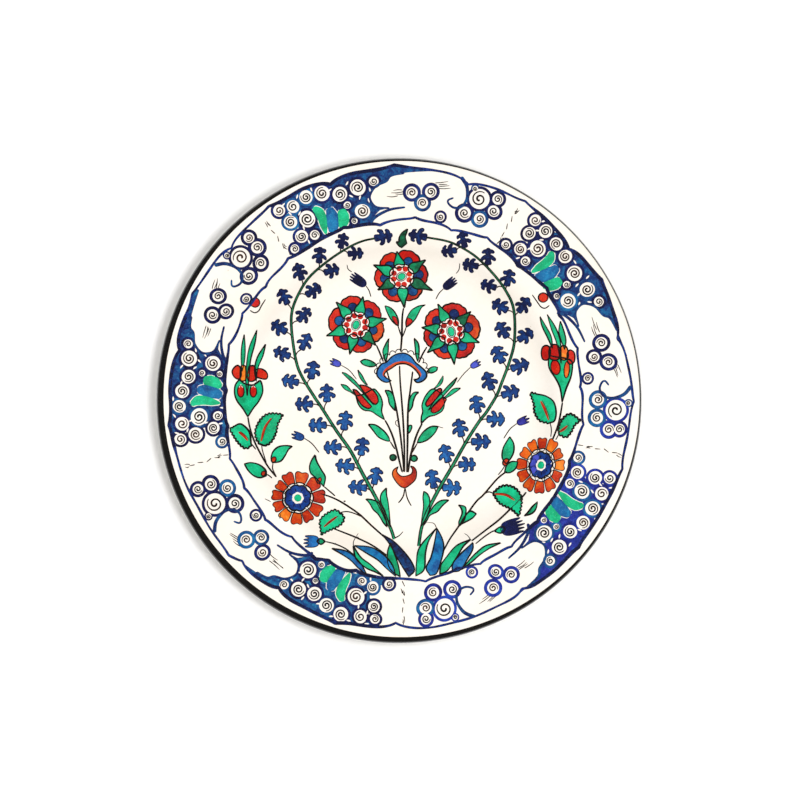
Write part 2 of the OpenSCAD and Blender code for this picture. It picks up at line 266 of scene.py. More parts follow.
class Paint:
    """Brushwork in one colour, which becomes one mesh that follows the face of the plate."""

    def __init__(self, name, material, slot, rise, stands_for=()):
        self.name, self.material, self.slot, self.rise = name, material, slot, rise
        self.stands_for = stands_for
        self.points, self.faces, self.tones, self.edges, self.count = [], [], [], [], 0
        PAINTS.append(self)

    def add(self, xy, lift, faces, tone, edge):
        xy = xy + WHITE_CENTRE
        z = face_height(xy[:, 0], xy[:, 1]) + lift
        self.points.append(np.column_stack([xy, z]))
        self.faces.extend(tuple(i + self.count for i in face) for face in faces)
        self.tones.append(np.broadcast_to(np.asarray(tone, float), len(xy)))
        self.edges.append(edge)
        self.count += len(xy)

    def fill(self, outline, tone=0.5, step=STEP, crown=1.0):
        """A patch inside an outline, a little lower at its edge. "tone" may depend on place."""
        loop = evenly(outline, step, True)
        low, high = loop.min(0), loop.max(0)
        xs, ys = (np.arange(low[k] + GRID / 2, high[k], GRID) for k in (0, 1))
        if len(xs) and len(ys):
            inner = np.stack(np.meshgrid(xs, ys), 2).reshape(-1, 2)
            inner[:, 0] += GRID / 2 * (np.round((inner[:, 1] - low[1]) / GRID) % 2) - GRID / 4
            inner = inner[inside(inner, loop)]
            inner = inner[nearest(inner, loop) > CLEAR * step] if len(inner) else inner
        else:
            inner = np.zeros((0, 2))
        rims = [(i, (i + 1) % len(loop)) for i in range(len(loop))]
        flat = np.concatenate([loop, inner])
        found = delaunay_2d_cdt(flat.tolist(), rims, [], 0, 1e-5)
        xy = np.array([tuple(v) for v in found[0]])
        triangles = np.array(found[2])
        triangles = triangles[inside(xy[triangles].mean(1), loop)]
        corners = xy[triangles]
        first, second = corners[:, 1] - corners[:, 0], corners[:, 2] - corners[:, 0]
        area = first[:, 0] * second[:, 1] - first[:, 1] * second[:, 0]
        sound = np.abs(area) > 1e-7
        triangles, area = triangles[sound], area[sound]
        triangles[area < 0] = triangles[area < 0][:, ::-1]
        used = np.unique(triangles)
        renumber = np.full(len(xy), -1)
        renumber[used] = np.arange(len(used))
        xy, triangles = xy[used], renumber[triangles]
        sides = np.concatenate([triangles[:, [0, 1]], triangles[:, [1, 2]], triangles[:, [2, 0]]])
        both = {(a, b) for a, b in sides.tolist()}
        rim = [(a, b) for a, b in both if (b, a) not in both]
        n = len(xy)
        edge = np.clip(nearest(xy, loop) / POOL_W, 0, 1)
        lift = self.rise - min(CROWN, 0.5 * self.rise) * crown * (1 - edge) ** 2
        faces = triangles.tolist() + (triangles[:, ::-1] + n).tolist()
        faces += [(b, a, a + n, b + n) for a, b in rim]
        tone = np.broadcast_to(np.asarray(tone, float), len(xy)) if np.isscalar(tone) else tone(xy)
        self.add(
            np.concatenate([xy, xy]),
            np.concatenate([lift, np.full(n, -SINK)]),
            faces,
            np.concatenate([tone, tone]),
            np.concatenate([edge, edge]),
        )

    def line(self, line, width, closed=False, tone=0.5, ends=(0.35, 0.35)):
        """A brush stroke along a line, with a rounded top. "width" may differ from end to end."""
        line = np.asarray(line, float)
        n = len(line)
        if closed:
            ahead = np.roll(line, -1, 0) - np.roll(line, 1, 0)
        else:
            ahead = np.gradient(line, axis=0)
        ahead /= np.maximum(np.hypot(*ahead.T), 1e-9)[:, None]
        across = np.column_stack([-ahead[:, 1], ahead[:, 0]])
        t = np.linspace(0, 1, n)
        half = np.interp(t, np.linspace(0, 1, np.size(width)), np.atleast_1d(width)) / 2
        if not closed:
            half[0] *= ends[0]
            half[-1] *= ends[1]
        half = half[:, None]
        rows = [line + across * half, line, line - across * half]
        flat = np.stack([*rows, rows[2], rows[0]], 1).reshape(-1, 2)
        shoulder = max(0.3 * self.rise, self.rise - STROKE_DROP)
        lifts = [shoulder, self.rise, shoulder, -SINK, -SINK]
        edge = np.tile([0.2, 1, 0.2, 0, 0], n)
        faces = []
        for i in range(n if closed else n - 1):
            low, high = 5 * i, 5 * ((i + 1) % n)
            for j in range(5):
                k = (j + 1) % 5
                faces.append((low + k, low + j, high + j, high + k))
        if not closed:
            faces.append((0, 1, 2, 3, 4))
            faces.append(tuple(5 * (n - 1) + j for j in (4, 3, 2, 1, 0)))
        self.add(flat, np.tile(lifts, n), faces, np.repeat(np.broadcast_to(tone, n), 5), edge)

    def build(self):
        thing = make_object(
            self.name,
            np.concatenate(self.points),
            self.faces,
            np.concatenate(self.tones),
            np.concatenate(self.edges),
        )
        thing.data.materials.append(self.material)
        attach(thing, "root")
        if self.stands_for:
            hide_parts(*self.stands_for)


# ---- Materials ----------------------------------------------------------------------------
def new_material(name):
    material = bpy.data.materials.new(name)
    material.use_nodes = True
    tree = material.node_tree
    shader = tree.nodes["Principled BSDF"]
    return material, tree, shader


def noise(tree, coords, scale, detail, rough, warp=0.0):
    node = tree.nodes.new("ShaderNodeTexNoise")
    node.inputs["Scale"].default_value = scale
    node.inputs["Detail"].default_value = detail
    node.inputs["Roughness"].default_value = rough
    node.inputs["Distortion"].default_value = warp
    tree.links.new(coords, node.inputs["Vector"])
    return node.outputs["Fac"]


def math_node(tree, operation, a, b, clamp=False):
    node = tree.nodes.new("ShaderNodeMath")
    node.operation = operation
    node.use_clamp = clamp
    for socket, value in zip(node.inputs, (a, b)):
        if isinstance(value, (int, float)):
            socket.default_value = value
        else:
            tree.links.new(value, socket)
    return node.outputs[0]


def spread(tree, value, low, high, to_low=0.0, to_high=1.0):
    node = tree.nodes.new("ShaderNodeMapRange")
    for key, number in (
        ("From Min", low), ("From Max", high), ("To Min", to_low), ("To Max", to_high)
    ):
        node.inputs[key].default_value = number
    tree.links.new(value, node.inputs["Value"])
    return node.outputs["Result"]


def ramp(tree, value, stops):
    node = tree.nodes.new("ShaderNodeValToRGB")
    bar = node.color_ramp
    while len(bar.elements) < len(stops):
        bar.elements.new(0.5)
    for element, (place, colour) in zip(bar.elements, stops):
        element.position = place
        element.color = (*colour, 1)
    tree.links.new(value, node.inputs["Fac"])
    return node.outputs["Color"]


def tinted(tree, amount, body, tint):
    """The body's colour, mixed towards one plain tint."""
    node = tree.nodes.new("ShaderNodeMix")
    node.data_type = "RGBA"
    inputs = {s.identifier: s for s in node.inputs}
    tree.links.new(amount, inputs["Factor_Float"])
    tree.links.new(body, inputs["A_Color"])
    inputs["B_Color"].default_value = (*tint, 1)
    return next(s for s in node.outputs if s.identifier == "Result_Color")


def bump(tree, shader, height, strength, distance):
    node = tree.nodes.new("ShaderNodeBump")
    node.inputs["Strength"].default_value = strength
    node.inputs["Distance"].default_value = distance
    tree.links.new(height, node.inputs["Height"])
    tree.links.new(node.outputs["Normal"], shader.inputs["Normal"])


def colour(code):
    """A linear colour from a screen colour such as "1c3f95"."""
    parts = [int(code[i : i + 2], 16) / 255 for i in (0, 2, 4)]
    return tuple(c / 12.92 if c <= 0.04045 else ((c + 0.055) / 1.055) ** 2.4 for c in parts)


def glossy(shader, coat=0.6):
    shader.inputs["Coat Weight"].default_value = coat
    shader.inputs["Coat Roughness"].default_value = 0.05
    shader.inputs["Coat IOR"].default_value = 1.5
    shader.inputs["IOR"].default_value = 1.5


STREAK = 900


def paint_material(name, stops, edge_dark, patch=160):
    """Fired pigment under glaze: washes of a few tones, darker where it pooled at an edge."""
    material, tree, shader = new_material(name)
    coords = tree.nodes.new("ShaderNodeTexCoord").outputs["Object"]
    tone = tree.nodes.new("ShaderNodeAttribute")
    tone.attribute_name = "tone"
    edge = tree.nodes.new("ShaderNodeAttribute")
    edge.attribute_name = "edge"
    wash = noise(tree, coords, patch, 4.0, 0.6, 0.6)
    grain = noise(tree, coords, STREAK, 2.0, 0.7)
    wash = spread(tree, wash, 0.3, 0.7, -0.34, 0.34)
    grain = spread(tree, grain, 0.3, 0.7, -0.1, 0.1)
    level = math_node(tree, "ADD", tone.outputs["Fac"], math_node(tree, "ADD", wash, grain), True)
    count = len(stops)
    body = ramp(tree, level, [(i / (count - 1), colour(c)) for i, c in enumerate(stops)])
    pool = spread(tree, edge.outputs["Fac"], 0.0, 0.5, edge_dark, 0.0)
    tree.links.new(tinted(tree, pool, body, colour(stops[0])), shader.inputs["Base Color"])
    tree.links.new(spread(tree, grain, -0.1, 0.1, 0.16, 0.3), shader.inputs["Roughness"])
    glossy(shader)
    bump(tree, shader, math_node(tree, "ADD", wash, grain), 0.25, 0.00006)
    return material


def white_glaze(name, tint, flecks):
    """Cream-white glaze with faint clouds, pinholes and a soft orange-peel surface."""
    material, tree, shader = new_material(name)
    coords = tree.nodes.new("ShaderNodeTexCoord").outputs["Object"]
    clouds = noise(tree, coords, 22, 3.0, 0.5, 0.3)
    mottle = noise(tree, coords, 420, 3.0, 0.6)
    level = math_node(tree, "ADD", math_node(tree, "MULTIPLY", clouds, 0.7),
                      math_node(tree, "MULTIPLY", mottle, 0.3))
    body = ramp(tree, level, [(0.3, colour(tint[0])), (0.7, colour(tint[1]))])
    pits = tree.nodes.new("ShaderNodeTexVoronoi")
    pits.inputs["Scale"].default_value = 55
    tree.links.new(coords, pits.inputs["Vector"])
    fleck = spread(tree, pits.outputs["Distance"], 0.012, 0.03, flecks, 0.0)
    tree.links.new(tinted(tree, fleck, body, colour("9a7d55")), shader.inputs["Base Color"])
    tree.links.new(spread(tree, mottle, 0.3, 0.7, 0.1, 0.2), shader.inputs["Roughness"])
    glossy(shader, 0.8)
    peel = noise(tree, coords, 260, 2.0, 0.5)
    bump(tree, shader, math_node(tree, "ADD", peel, math_node(tree, "MULTIPLY", fleck, -1.0)),
         0.12, 0.00012)
    return material


def bare_clay(name):
    """Unglazed buff clay, sandy and matt."""
    material, tree, shader = new_material(name)
    coords = tree.nodes.new("ShaderNodeTexCoord").outputs["Object"]
    cloud = noise(tree, coords, 90, 4.0, 0.6)
    sand = noise(tree, coords, 2600, 2.0, 0.7)
    level = math_node(tree, "ADD", math_node(tree, "MULTIPLY", cloud, 0.6),
                      math_node(tree, "MULTIPLY", sand, 0.4))
    body = ramp(tree, level, [(0.3, colour("a98759")), (0.5, colour("cdb083")),
                              (0.7, colour("e0cba3"))])
    tree.links.new(body, shader.inputs["Base Color"])
    tree.links.new(spread(tree, sand, 0.3, 0.7, 0.75, 0.95), shader.inputs["Roughness"])
    bump(tree, shader, sand, 0.5, 0.0002)
    return material


FACE = white_glaze("face_white_glaze", ("f9f0e2", "fef7ee"), 0.35)
BACK = white_glaze("back_white_glaze", ("f3ead4", "faf4e6"), 0.6)
RESERVE = white_glaze("reserved_white", ("f5ebdf", "fef7ee"), 0.0)
CLAY = bare_clay("buff_clay")
BLACK = paint_material("black_brown", ("070503", "0f0b07", "3c2414"), 0.2)
NAVY = paint_material("navy", ("080a2a", "0c1450", "14307c"), 0.2)
SEA = paint_material("sea_blue", ("0a1036", "0d2e6c", "0a5e92", "1490b8"), 0.2, 210)
SEA_VIOLET = paint_material("sea_violet", ("0c0e40", "12227a", "26329c", "1860b8"), 0.2, 210)
TEAL = paint_material("teal_blue", ("0a1f56", "085690", "1280b4"), 0.4)
COBALT = paint_material("cobalt", ("080d34", "0c307e", "1a62b0"), 0.3, 220)
ROYAL = paint_material("royal_blue", ("100e50", "142a90", "2152c4"), 0.3)
VIOLET = paint_material("violet_blue", ("16145c", "302f96", "4a55c8"), 0.4)
GREEN = paint_material("emerald", ("067048", "04ac74", "14d296"), 0.3, 140)
LEAF = paint_material("leaf_green", ("082c1c", "0a6440", "0e9a64"), 0.3)
RED = paint_material("red", ("8e0802", "c61204", "dc3a06"), 0.25, 120)
EMBER = paint_material("orange_red", ("8c1204", "c43006", "de620e"), 0.3, 150)
BELL = paint_material("bell_blue", ("0a113c", "0e3c80", "1a6eb4"), 0.3, 260)
TUFT = paint_material("tuft_blue", ("14143c", "0f4f8e", "1a86c0"), 0.3, 180)
ORANGE = paint_material("orange", ("d23a08", "ea6a12", "f39a2c"), 0.35)

# ---- The clay, its glazes and the rim line ------------------------------------------------
CLAY_GAP = 0.05  # between a glaze's hidden side and the clay


def place(thing, slot, *nodes):
    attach(thing, "root")
    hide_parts(*nodes)


def make_face():
    """The glazed face: a thin skin out to the painter's white circle."""
    angles = np.linspace(0, 2 * np.pi, TURNS, endpoint=False)
    shares = np.concatenate([[0.004], np.linspace(0.02, 0.96, 84), np.linspace(0.964, 1, 20)])
    rings = []
    for depth, order in ((0.0, shares), (-GLAZE + CLAY_GAP, shares[::-1])):
        for share in order:
            x = WHITE_CENTRE[0] + share * WHITE_R * np.cos(angles)
            y = WHITE_CENTRE[1] + share * WHITE_R * np.sin(angles)
            z = section_height(np.hypot(x, y), depth) + hand_thrown(x, y)
            rings.append(np.column_stack([x, y, z]))
    thing = make_object("face_glaze_skin", np.concatenate(rings), capped(rings))
    thing.data.materials.append(FACE)
    place(thing, "white_glaze", "face_glaze")


def lip_point(s, rise):
    """A point (r, z) on the lip, s along its section: below 0 on the flange, then round it."""
    if s < 0:
        r = LIP_START_R + s * math.cos(FLANGE_SLOPE)
        z = section_height(LIP_START_R - 1e-6) + s * math.sin(FLANGE_SLOPE)
        return (r - rise * math.sin(FLANGE_SLOPE), z + rise * math.cos(FLANGE_SLOPE))
    half = math.pi * LIP_R
    angle = math.pi / 2 + FLANGE_SLOPE - min(s, half) / LIP_R
    r = LIP_CENTRE_R + (LIP_R + rise) * math.cos(angle)
    z = LIP_CENTRE_Z + (LIP_R + rise) * math.sin(angle)
    beyond = max(s - half, 0)
    return (r - beyond * math.cos(FLANGE_SLOPE), z - beyond * math.sin(FLANGE_SLOPE))


def make_rim_line():
    """The dark line: from the white circle, over the lip and onto the back."""
    steps = 20
    skin, under = [], []
    for angle in np.linspace(0, 2 * np.pi, TURNS, endpoint=False):
        ray = np.array([math.cos(angle), math.sin(angle)])
        ahead = ray @ WHITE_CENTRE
        reach = ahead + math.sqrt(ahead**2 + WHITE_R**2 - WHITE_CENTRE @ WHITE_CENTRE)
        reach += 0.08 * math.sin(7 * angle) + 0.05 * math.sin(19 * angle + 1)
        if reach < LIP_START_R:
            start = (reach - LIP_START_R) / math.cos(FLANGE_SLOPE)
        else:
            lean = math.acos(max(-1, min(1, (reach - LIP_CENTRE_R) / LIP_R)))
            start = LIP_R * (math.pi / 2 + FLANGE_SLOPE - lean)
        end = math.pi * LIP_R + 1.2 + 0.35 * math.sin(5 * angle) + 0.2 * math.sin(13 * angle)
        for rise, into in ((0.06, skin), (-0.42, under)):
            row = []
            for k in range(steps):
                s = start + (end - start) * k / (steps - 1)
                lift = rise if 0 < k < steps - 1 else min(rise, -0.05)
                r, z = lip_point(s, lift)
                wave = float(hand_thrown(r * ray[0], r * ray[1]))
                row.append((r * ray[0], r * ray[1], z + wave))
            into.append(row if rise > 0 else row[::-1])
    columns = [a + b for a, b in zip(skin, under)]
    points = np.array(columns)
    size = points.shape[1]
    faces = grid_faces(len(columns), size, True)
    thing = make_object("rim_line_band", points.reshape(-1, 3), faces)
    thing.data.materials.append(BLACK)
    place(thing, "black_brown_paint", "rim_line")


def make_back():
    """The back's glaze, with the rings the turning tool left, and the patch inside the foot."""
    wall_end = LIP_START_R - 0.6
    radii = np.linspace(FOOT_R + FOOT_LEAN + 0.5, wall_end, 150)
    under = section_height(radii, -WALL) + 0.05 * np.sin(radii * 1.35)
    over = section_height(radii, -WALL + GLAZE - CLAY_GAP)
    foot = [(radii[0] - 0.35, under[0] + 0.16), (radii[0] - 0.4, over[0])]
    section = list(zip(radii[::-1], under[::-1])) + foot + list(zip(radii, over))
    thing = turned("back_glaze_skin", section)
    thing.data.materials.append(BACK)
    inner_r = FOOT_R - FOOT_W - FOOT_LEAN - 0.5
    angles = np.linspace(0, 2 * np.pi, TURNS, endpoint=False)
    rings, inward, outward = [], 60, 12
    for r in np.linspace(inner_r, 0.5, inward):
        swirl = FLOOR_Z - WALL + 0.06 * np.sin(r * 1.5 + angles)
        rings.append(np.column_stack([r * np.cos(angles), r * np.sin(angles), swirl]))
    for r in np.linspace(0.5, inner_r, outward):
        top = np.full(TURNS, FLOOR_Z - WALL + GLAZE - CLAY_GAP)
        rings.append(np.column_stack([r * np.cos(angles), r * np.sin(angles), top]))
    faces = grid_faces(len(rings), TURNS, True)
    low, high = (inward - 1) * TURNS, inward * TURNS
    between = set(range(low, high + TURNS))
    faces = [face for face in faces if not set(face) <= between]
    faces += [tuple(range(low, high)), tuple(range(high + TURNS - 1, high - 1, -1))]
    patch = make_object("back_glaze_inside_foot", np.concatenate(rings), faces)
    patch.data.materials.append(BACK)
    place(thing, "white_glaze", "back_glaze")
    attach(patch, "root")


def make_foot():
    """The bare foot ring, rounded at its lower edge, with fine turning lines up its sides."""
    top = FLOOR_Z - WALL + GLAZE
    soft = 0.7
    section = []
    for k in range(7):
        a = math.radians(-90 + 90 * k / 6)
        section.append((FOOT_R - soft + soft * math.cos(a), soft + soft * math.sin(a)))
    for k in range(1, 30):
        z = soft + (top - soft) * k / 29
        section.append((FOOT_R + FOOT_LEAN * z / top + 0.05 * math.sin(5.2 * z), z))
    for k in range(29, 0, -1):
        z = soft + (top - soft) * k / 29
        inner = FOOT_R - FOOT_W - FOOT_LEAN * z / top
        section.append((inner - 0.05 * math.sin(4.7 * z), z))
    for k in range(7):
        a = math.radians(180 + 90 * k / 6)
        centre = FOOT_R - FOOT_W + soft
        section.append((centre + soft * math.cos(a), soft + soft * math.sin(a)))
    thing = turned("foot_ring_clay", section)
    thing.data.materials.append(CLAY)
    place(thing, "clay", "foot_ring")


make_face()
make_rim_line()
make_back()
make_foot()
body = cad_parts["clay_body"]
body.data.materials.clear()
body.data.materials.append(CLAY)

# ---- Border -------------------------------------------------------------------------------
# Places in the border are (degrees from a shell, mm from the pattern's centre); positive
# degrees run anticlockwise. Its five repeats were painted freely, so each one is stretched to
# its own marks: the sea's end, the three spirals, the cluster and the dashes.
UNIT_MARKS = (-13.2, -27.6, -43.2, -53.5)
rng = random.Random(11)


class Repeat:
    def __init__(self, shell, marks, outer_cusps, outer_notches, inner_cusps, inner_nubs):
        self.shell, self.marks = shell, marks
        self.outer_cusps, self.outer_notches = outer_cusps, outer_notches
        self.inner_cusps, self.inner_nubs = inner_cusps, inner_nubs
        self.left = 1.0

    def angle(self, delta):
        own = (self.marks[3] - 8.5, *reversed(self.marks), 0, 30 * self.left)
        return self.shell + float(np.interp(delta, (-62, *reversed(UNIT_MARKS), 0, 30), own))

    def at(self, delta, r):
        return direction(self.angle(delta)) * r

    def line(self, places):
        return smooth([self.at(*place) for place in places])


REPEATS = [
    Repeat(112.0, (-13.2, -27.6, -43.2, -53.5), (12.6, -20.2), (-3.7, -39.3),
           (-15, -38.4), (16.9, -3.2, -26.3)),
    Repeat(41.5, (-14.0, -28.9, -44.4, -55.8), (16.5, -10.7, -42.1), (0.4, -25.9),
           (7.4, -13.6, -37.6), (20.5, -3.9, -25.4)),
    Repeat(-33.5, (-12.4, -27.5, -44.7, -56.0), (15.9, -6.5), (-24.1,),
           (13.3, -38.3), (25.5, -8.5, -19.8, -31)),
    Repeat(-109.5, (-11.7, -25.4, -41.3, -53.0), (3, -28.4), (18, -13.5, -25),
           (4.6, -4.9, -19), (27, -8.8, -29, -41)),
    Repeat(-181.5, (-11.7, -25.0, -40.0, -51.0), (7.9, -25.2), (-10.9, -40.1),
           (10.3, -1.3, -38.1), (20.7, -16, -26.8)),
]
for before, one in zip(REPEATS[-1:] + REPEATS[:-1], REPEATS):
    one.left = (before.shell - one.shell) % 360 / 70.5


class Wavy:
    """A line round the border, drawn out to a point at each cusp and notch."""

    def __init__(self, level, lean, reach, cusp, notch, kinds):
        self.level, self.lean, self.reach = level, lean, reach
        turns = [(one.shell + d, cusp) for one in REPEATS for d in getattr(one, kinds[0])]
        turns += [(one.shell + d, notch) for one in REPEATS for d in getattr(one, kinds[1])]
        self.angles, radii = np.array(turns).T
        self.pulls = radii - level

    def radius(self, degrees):
        a = np.asarray(degrees, float)[..., None]
        off = np.abs((a - self.angles + 180) % 360 - 180)
        turns = np.radians(a[..., 0])
        level = self.level + self.lean * np.cos(turns + 0.45)
        level += 0.35 * np.sin(13 * turns + 1) + 0.2 * np.sin(29 * turns)
        return level + (self.pulls * np.exp(-off / self.reach)).sum(-1)

    def span(self, start, end):
        """The line's points from one angle to another."""
        a = np.linspace(start, end, max(3, int(abs(end - start) / 0.35)))
        return np.column_stack([np.cos(np.radians(a)), np.sin(np.radians(a))]) * self.radius(a)[:, None]


OUTER = Wavy(142.4, -0.9, 2.1, 144.2, 139.2, ("outer_cusps", "outer_notches"))
INNER = Wavy(111.1, 0.9, 1.8, 109.3, 112.9, ("inner_cusps", "inner_nubs"))

sea = Paint("border_sea", SEA, "cobalt_paint", 0.08, ("wave_crests",))
sea_violet = Paint("border_sea_violet", SEA_VIOLET, "cobalt_paint", 0.08)
rocks = Paint("border_rock_rings", NAVY, "cobalt_paint", 0.12)
rocks_violet = Paint("border_rock_rings_violet", ROYAL, "cobalt_paint", 0.12)
rocks_teal = Paint("border_rock_rings_teal", TEAL, "cobalt_paint", 0.12)
rock_whites = Paint("border_rock_whites", RESERVE, "white_glaze", 0.15)
spirals = Paint("border_rock_spirals", BLACK, "black_brown_paint", 0.215, ("wave_spirals",))
chips = Paint("border_white_chips", RESERVE, "white_glaze", 0.16)
outer_line = Paint("border_outer_stroke", COBALT, "cobalt_paint", 0.20, ("border_outer_line",))
inner_line = Paint("border_inner_stroke", COBALT, "cobalt_paint", 0.20, ("border_inner_line",))
tails = Paint("border_tails", TEAL, "cobalt_paint", 0.18, ("panel_tails",))
shell_white = Paint("shell_white_edges", RESERVE, "white_glaze", 0.12)
shell_green = Paint("shell_green_stripes", GREEN, "teal_paint", 0.17, ("shell_edge_stripes",))
shell_blue = Paint("shell_blue_stripes", TEAL, "cobalt_paint", 0.17, ("shell_middle_stripes",))
dashes = Paint("border_dashes", BLACK, "black_brown_paint", 0.10)

# Rocks in the sea and beyond it: (degrees, mm, radius). The chips are (degrees, mm).
ROCKS = [
    (11.7, 139, 3.9), (7.9, 136.6, 4.3), (10.9, 129.2, 4.5), (3.4, 138.4, 4.6), (6.2, 125.5, 5.6),
    (-0.6, 136, 4.9), (10.1, 118, 4.9), (6.5, 114.3, 3.7), (14.4, 113.7, 3.1), (-5.2, 132.3, 4.9),
    (-10.3, 133.5, 4.9), (-10.3, 118.7, 7.0), (-6.6, 124.2, 2.5), (-7.3, 110.9, 2.8),
    (-14.6, 136, 3.1),
]
DRIFT = [
    (-24.8, 128, 5.2), (-30.3, 129.8, 5.2), (-27.8, 121.7, 4.9), (-34, 112.5, 3.7),
    (-48, 139, 4.3), (-48, 129.6, 4.9), (-45.3, 121.3, 4.7), (-40.5, 121.5, 4.9),
    (-41.2, 140.5, 2.3), (-43.2, 132.6, 6.6),
]
CHIPS = [
    (9.9, 140.6), (5.6, 140.8), (1.4, 141.2), (9.6, 133.8), (7.2, 131), (-3, 136.6), (-7.8, 137.5),
    (-8, 129.3), (-10.3, 127.3), (-13.4, 130.8), (-12.6, 124.6), (8.2, 122), (9, 113), (-9.8, 110.9),
    (4.2, 111.2), (-4.0, 121), (-3.6, 116),
]
SHELL = [
    ("green", [(2.75, 112.2), (2.3, 117.4), (1.8, 122.4), (2.0, 126.7), (3.0, 130.3)],
     [1.0, 3.1, 4.0, 4.3, 2.0]),
    ("blue", [(0.6, 111.2), (-0.7, 116.8), (-1.2, 121.7), (-1.2, 126.6)], [3.1, 5.5, 5.5, 3.0]),
    ("green", [(-2.4, 111.9), (-3.6, 114.9), (-4.3, 118.7), (-4.3, 123.2)], [2.2, 4.9, 5.2, 3.2]),
]


ROCK_GAP = 1.15  # between the white pebbles of two neighbours
RING_W = 1.65  # of the ring round a pebble in the sea
LINE_CLEAR = 0.2  # between a ring and the border's lines
DASH_GAP = 1.15  # between the dashes of a tuft
SHELL_GAIN, SHELL_EDGE = 1.42, 1.5


def rock(ring_paint, centre, radius, white, turns):
    """A white pebble in a ring, with a spiral drawn on it."""
    if rng.random() < 0.3:
        ring_paint = rocks_teal
    wobble = rng.uniform(0.92, 1.0)
    tilt = rng.uniform(0, math.pi)
    ring_paint.fill(ring(centre, radius, 30, wobble, tilt), tone=rng.uniform(0.2, 0.6))
    rock_whites.fill(ring(centre, white, 26, wobble, tilt), crown=0.4)
    way = rng.choice((-1, 1))
    start = rng.uniform(0, 2 * math.pi)
    t = np.linspace(0, 1, 30)
    reach = white * (0.1 + 0.68 * t)
    a = start + way * t * 2 * math.pi * turns
    coil = np.column_stack([reach * np.cos(a), reach * np.sin(a)]) + centre
    width = 0.07 * white + 0.55
    spirals.line(evenly(coil, 0.6), [width * 1.4, width, width, 0.6 * width],
                 tone=rng.uniform(0.2, 1.0))


def inside_band(centre, size):
    """The same place, moved in until a rock of this size clears both lines."""
    degrees = math.degrees(math.atan2(centre[1], centre[0]))
    low = INNER.radius(degrees) + size + LINE_CLEAR
    high = OUTER.radius(degrees) - size - LINE_CLEAR
    return centre * float(np.clip(np.hypot(*centre), low, high) / np.hypot(*centre))


def sketch(one, delta, r, heading, strokes, length):
    """A tuft of thin dashes, side by side and a little fanned."""
    for k in range(strokes):
        off = k - (strokes - 1) / 2
        a = one.angle(delta) + heading + rng.uniform(-5, 5)
        start = one.at(delta, r) + direction(a) * rng.uniform(-2.5, 2.5)
        start = start + direction(a + 90) * DASH_GAP * off
        end = start + direction(a) * length * rng.uniform(0.7, 1.1)
        middle = (start + end) / 2 + direction(a + 90) * rng.uniform(-0.5, 0.5)
        dashes.line(smooth([start, middle, end]), [0.55, 0.55, 0.3], tone=0.4)


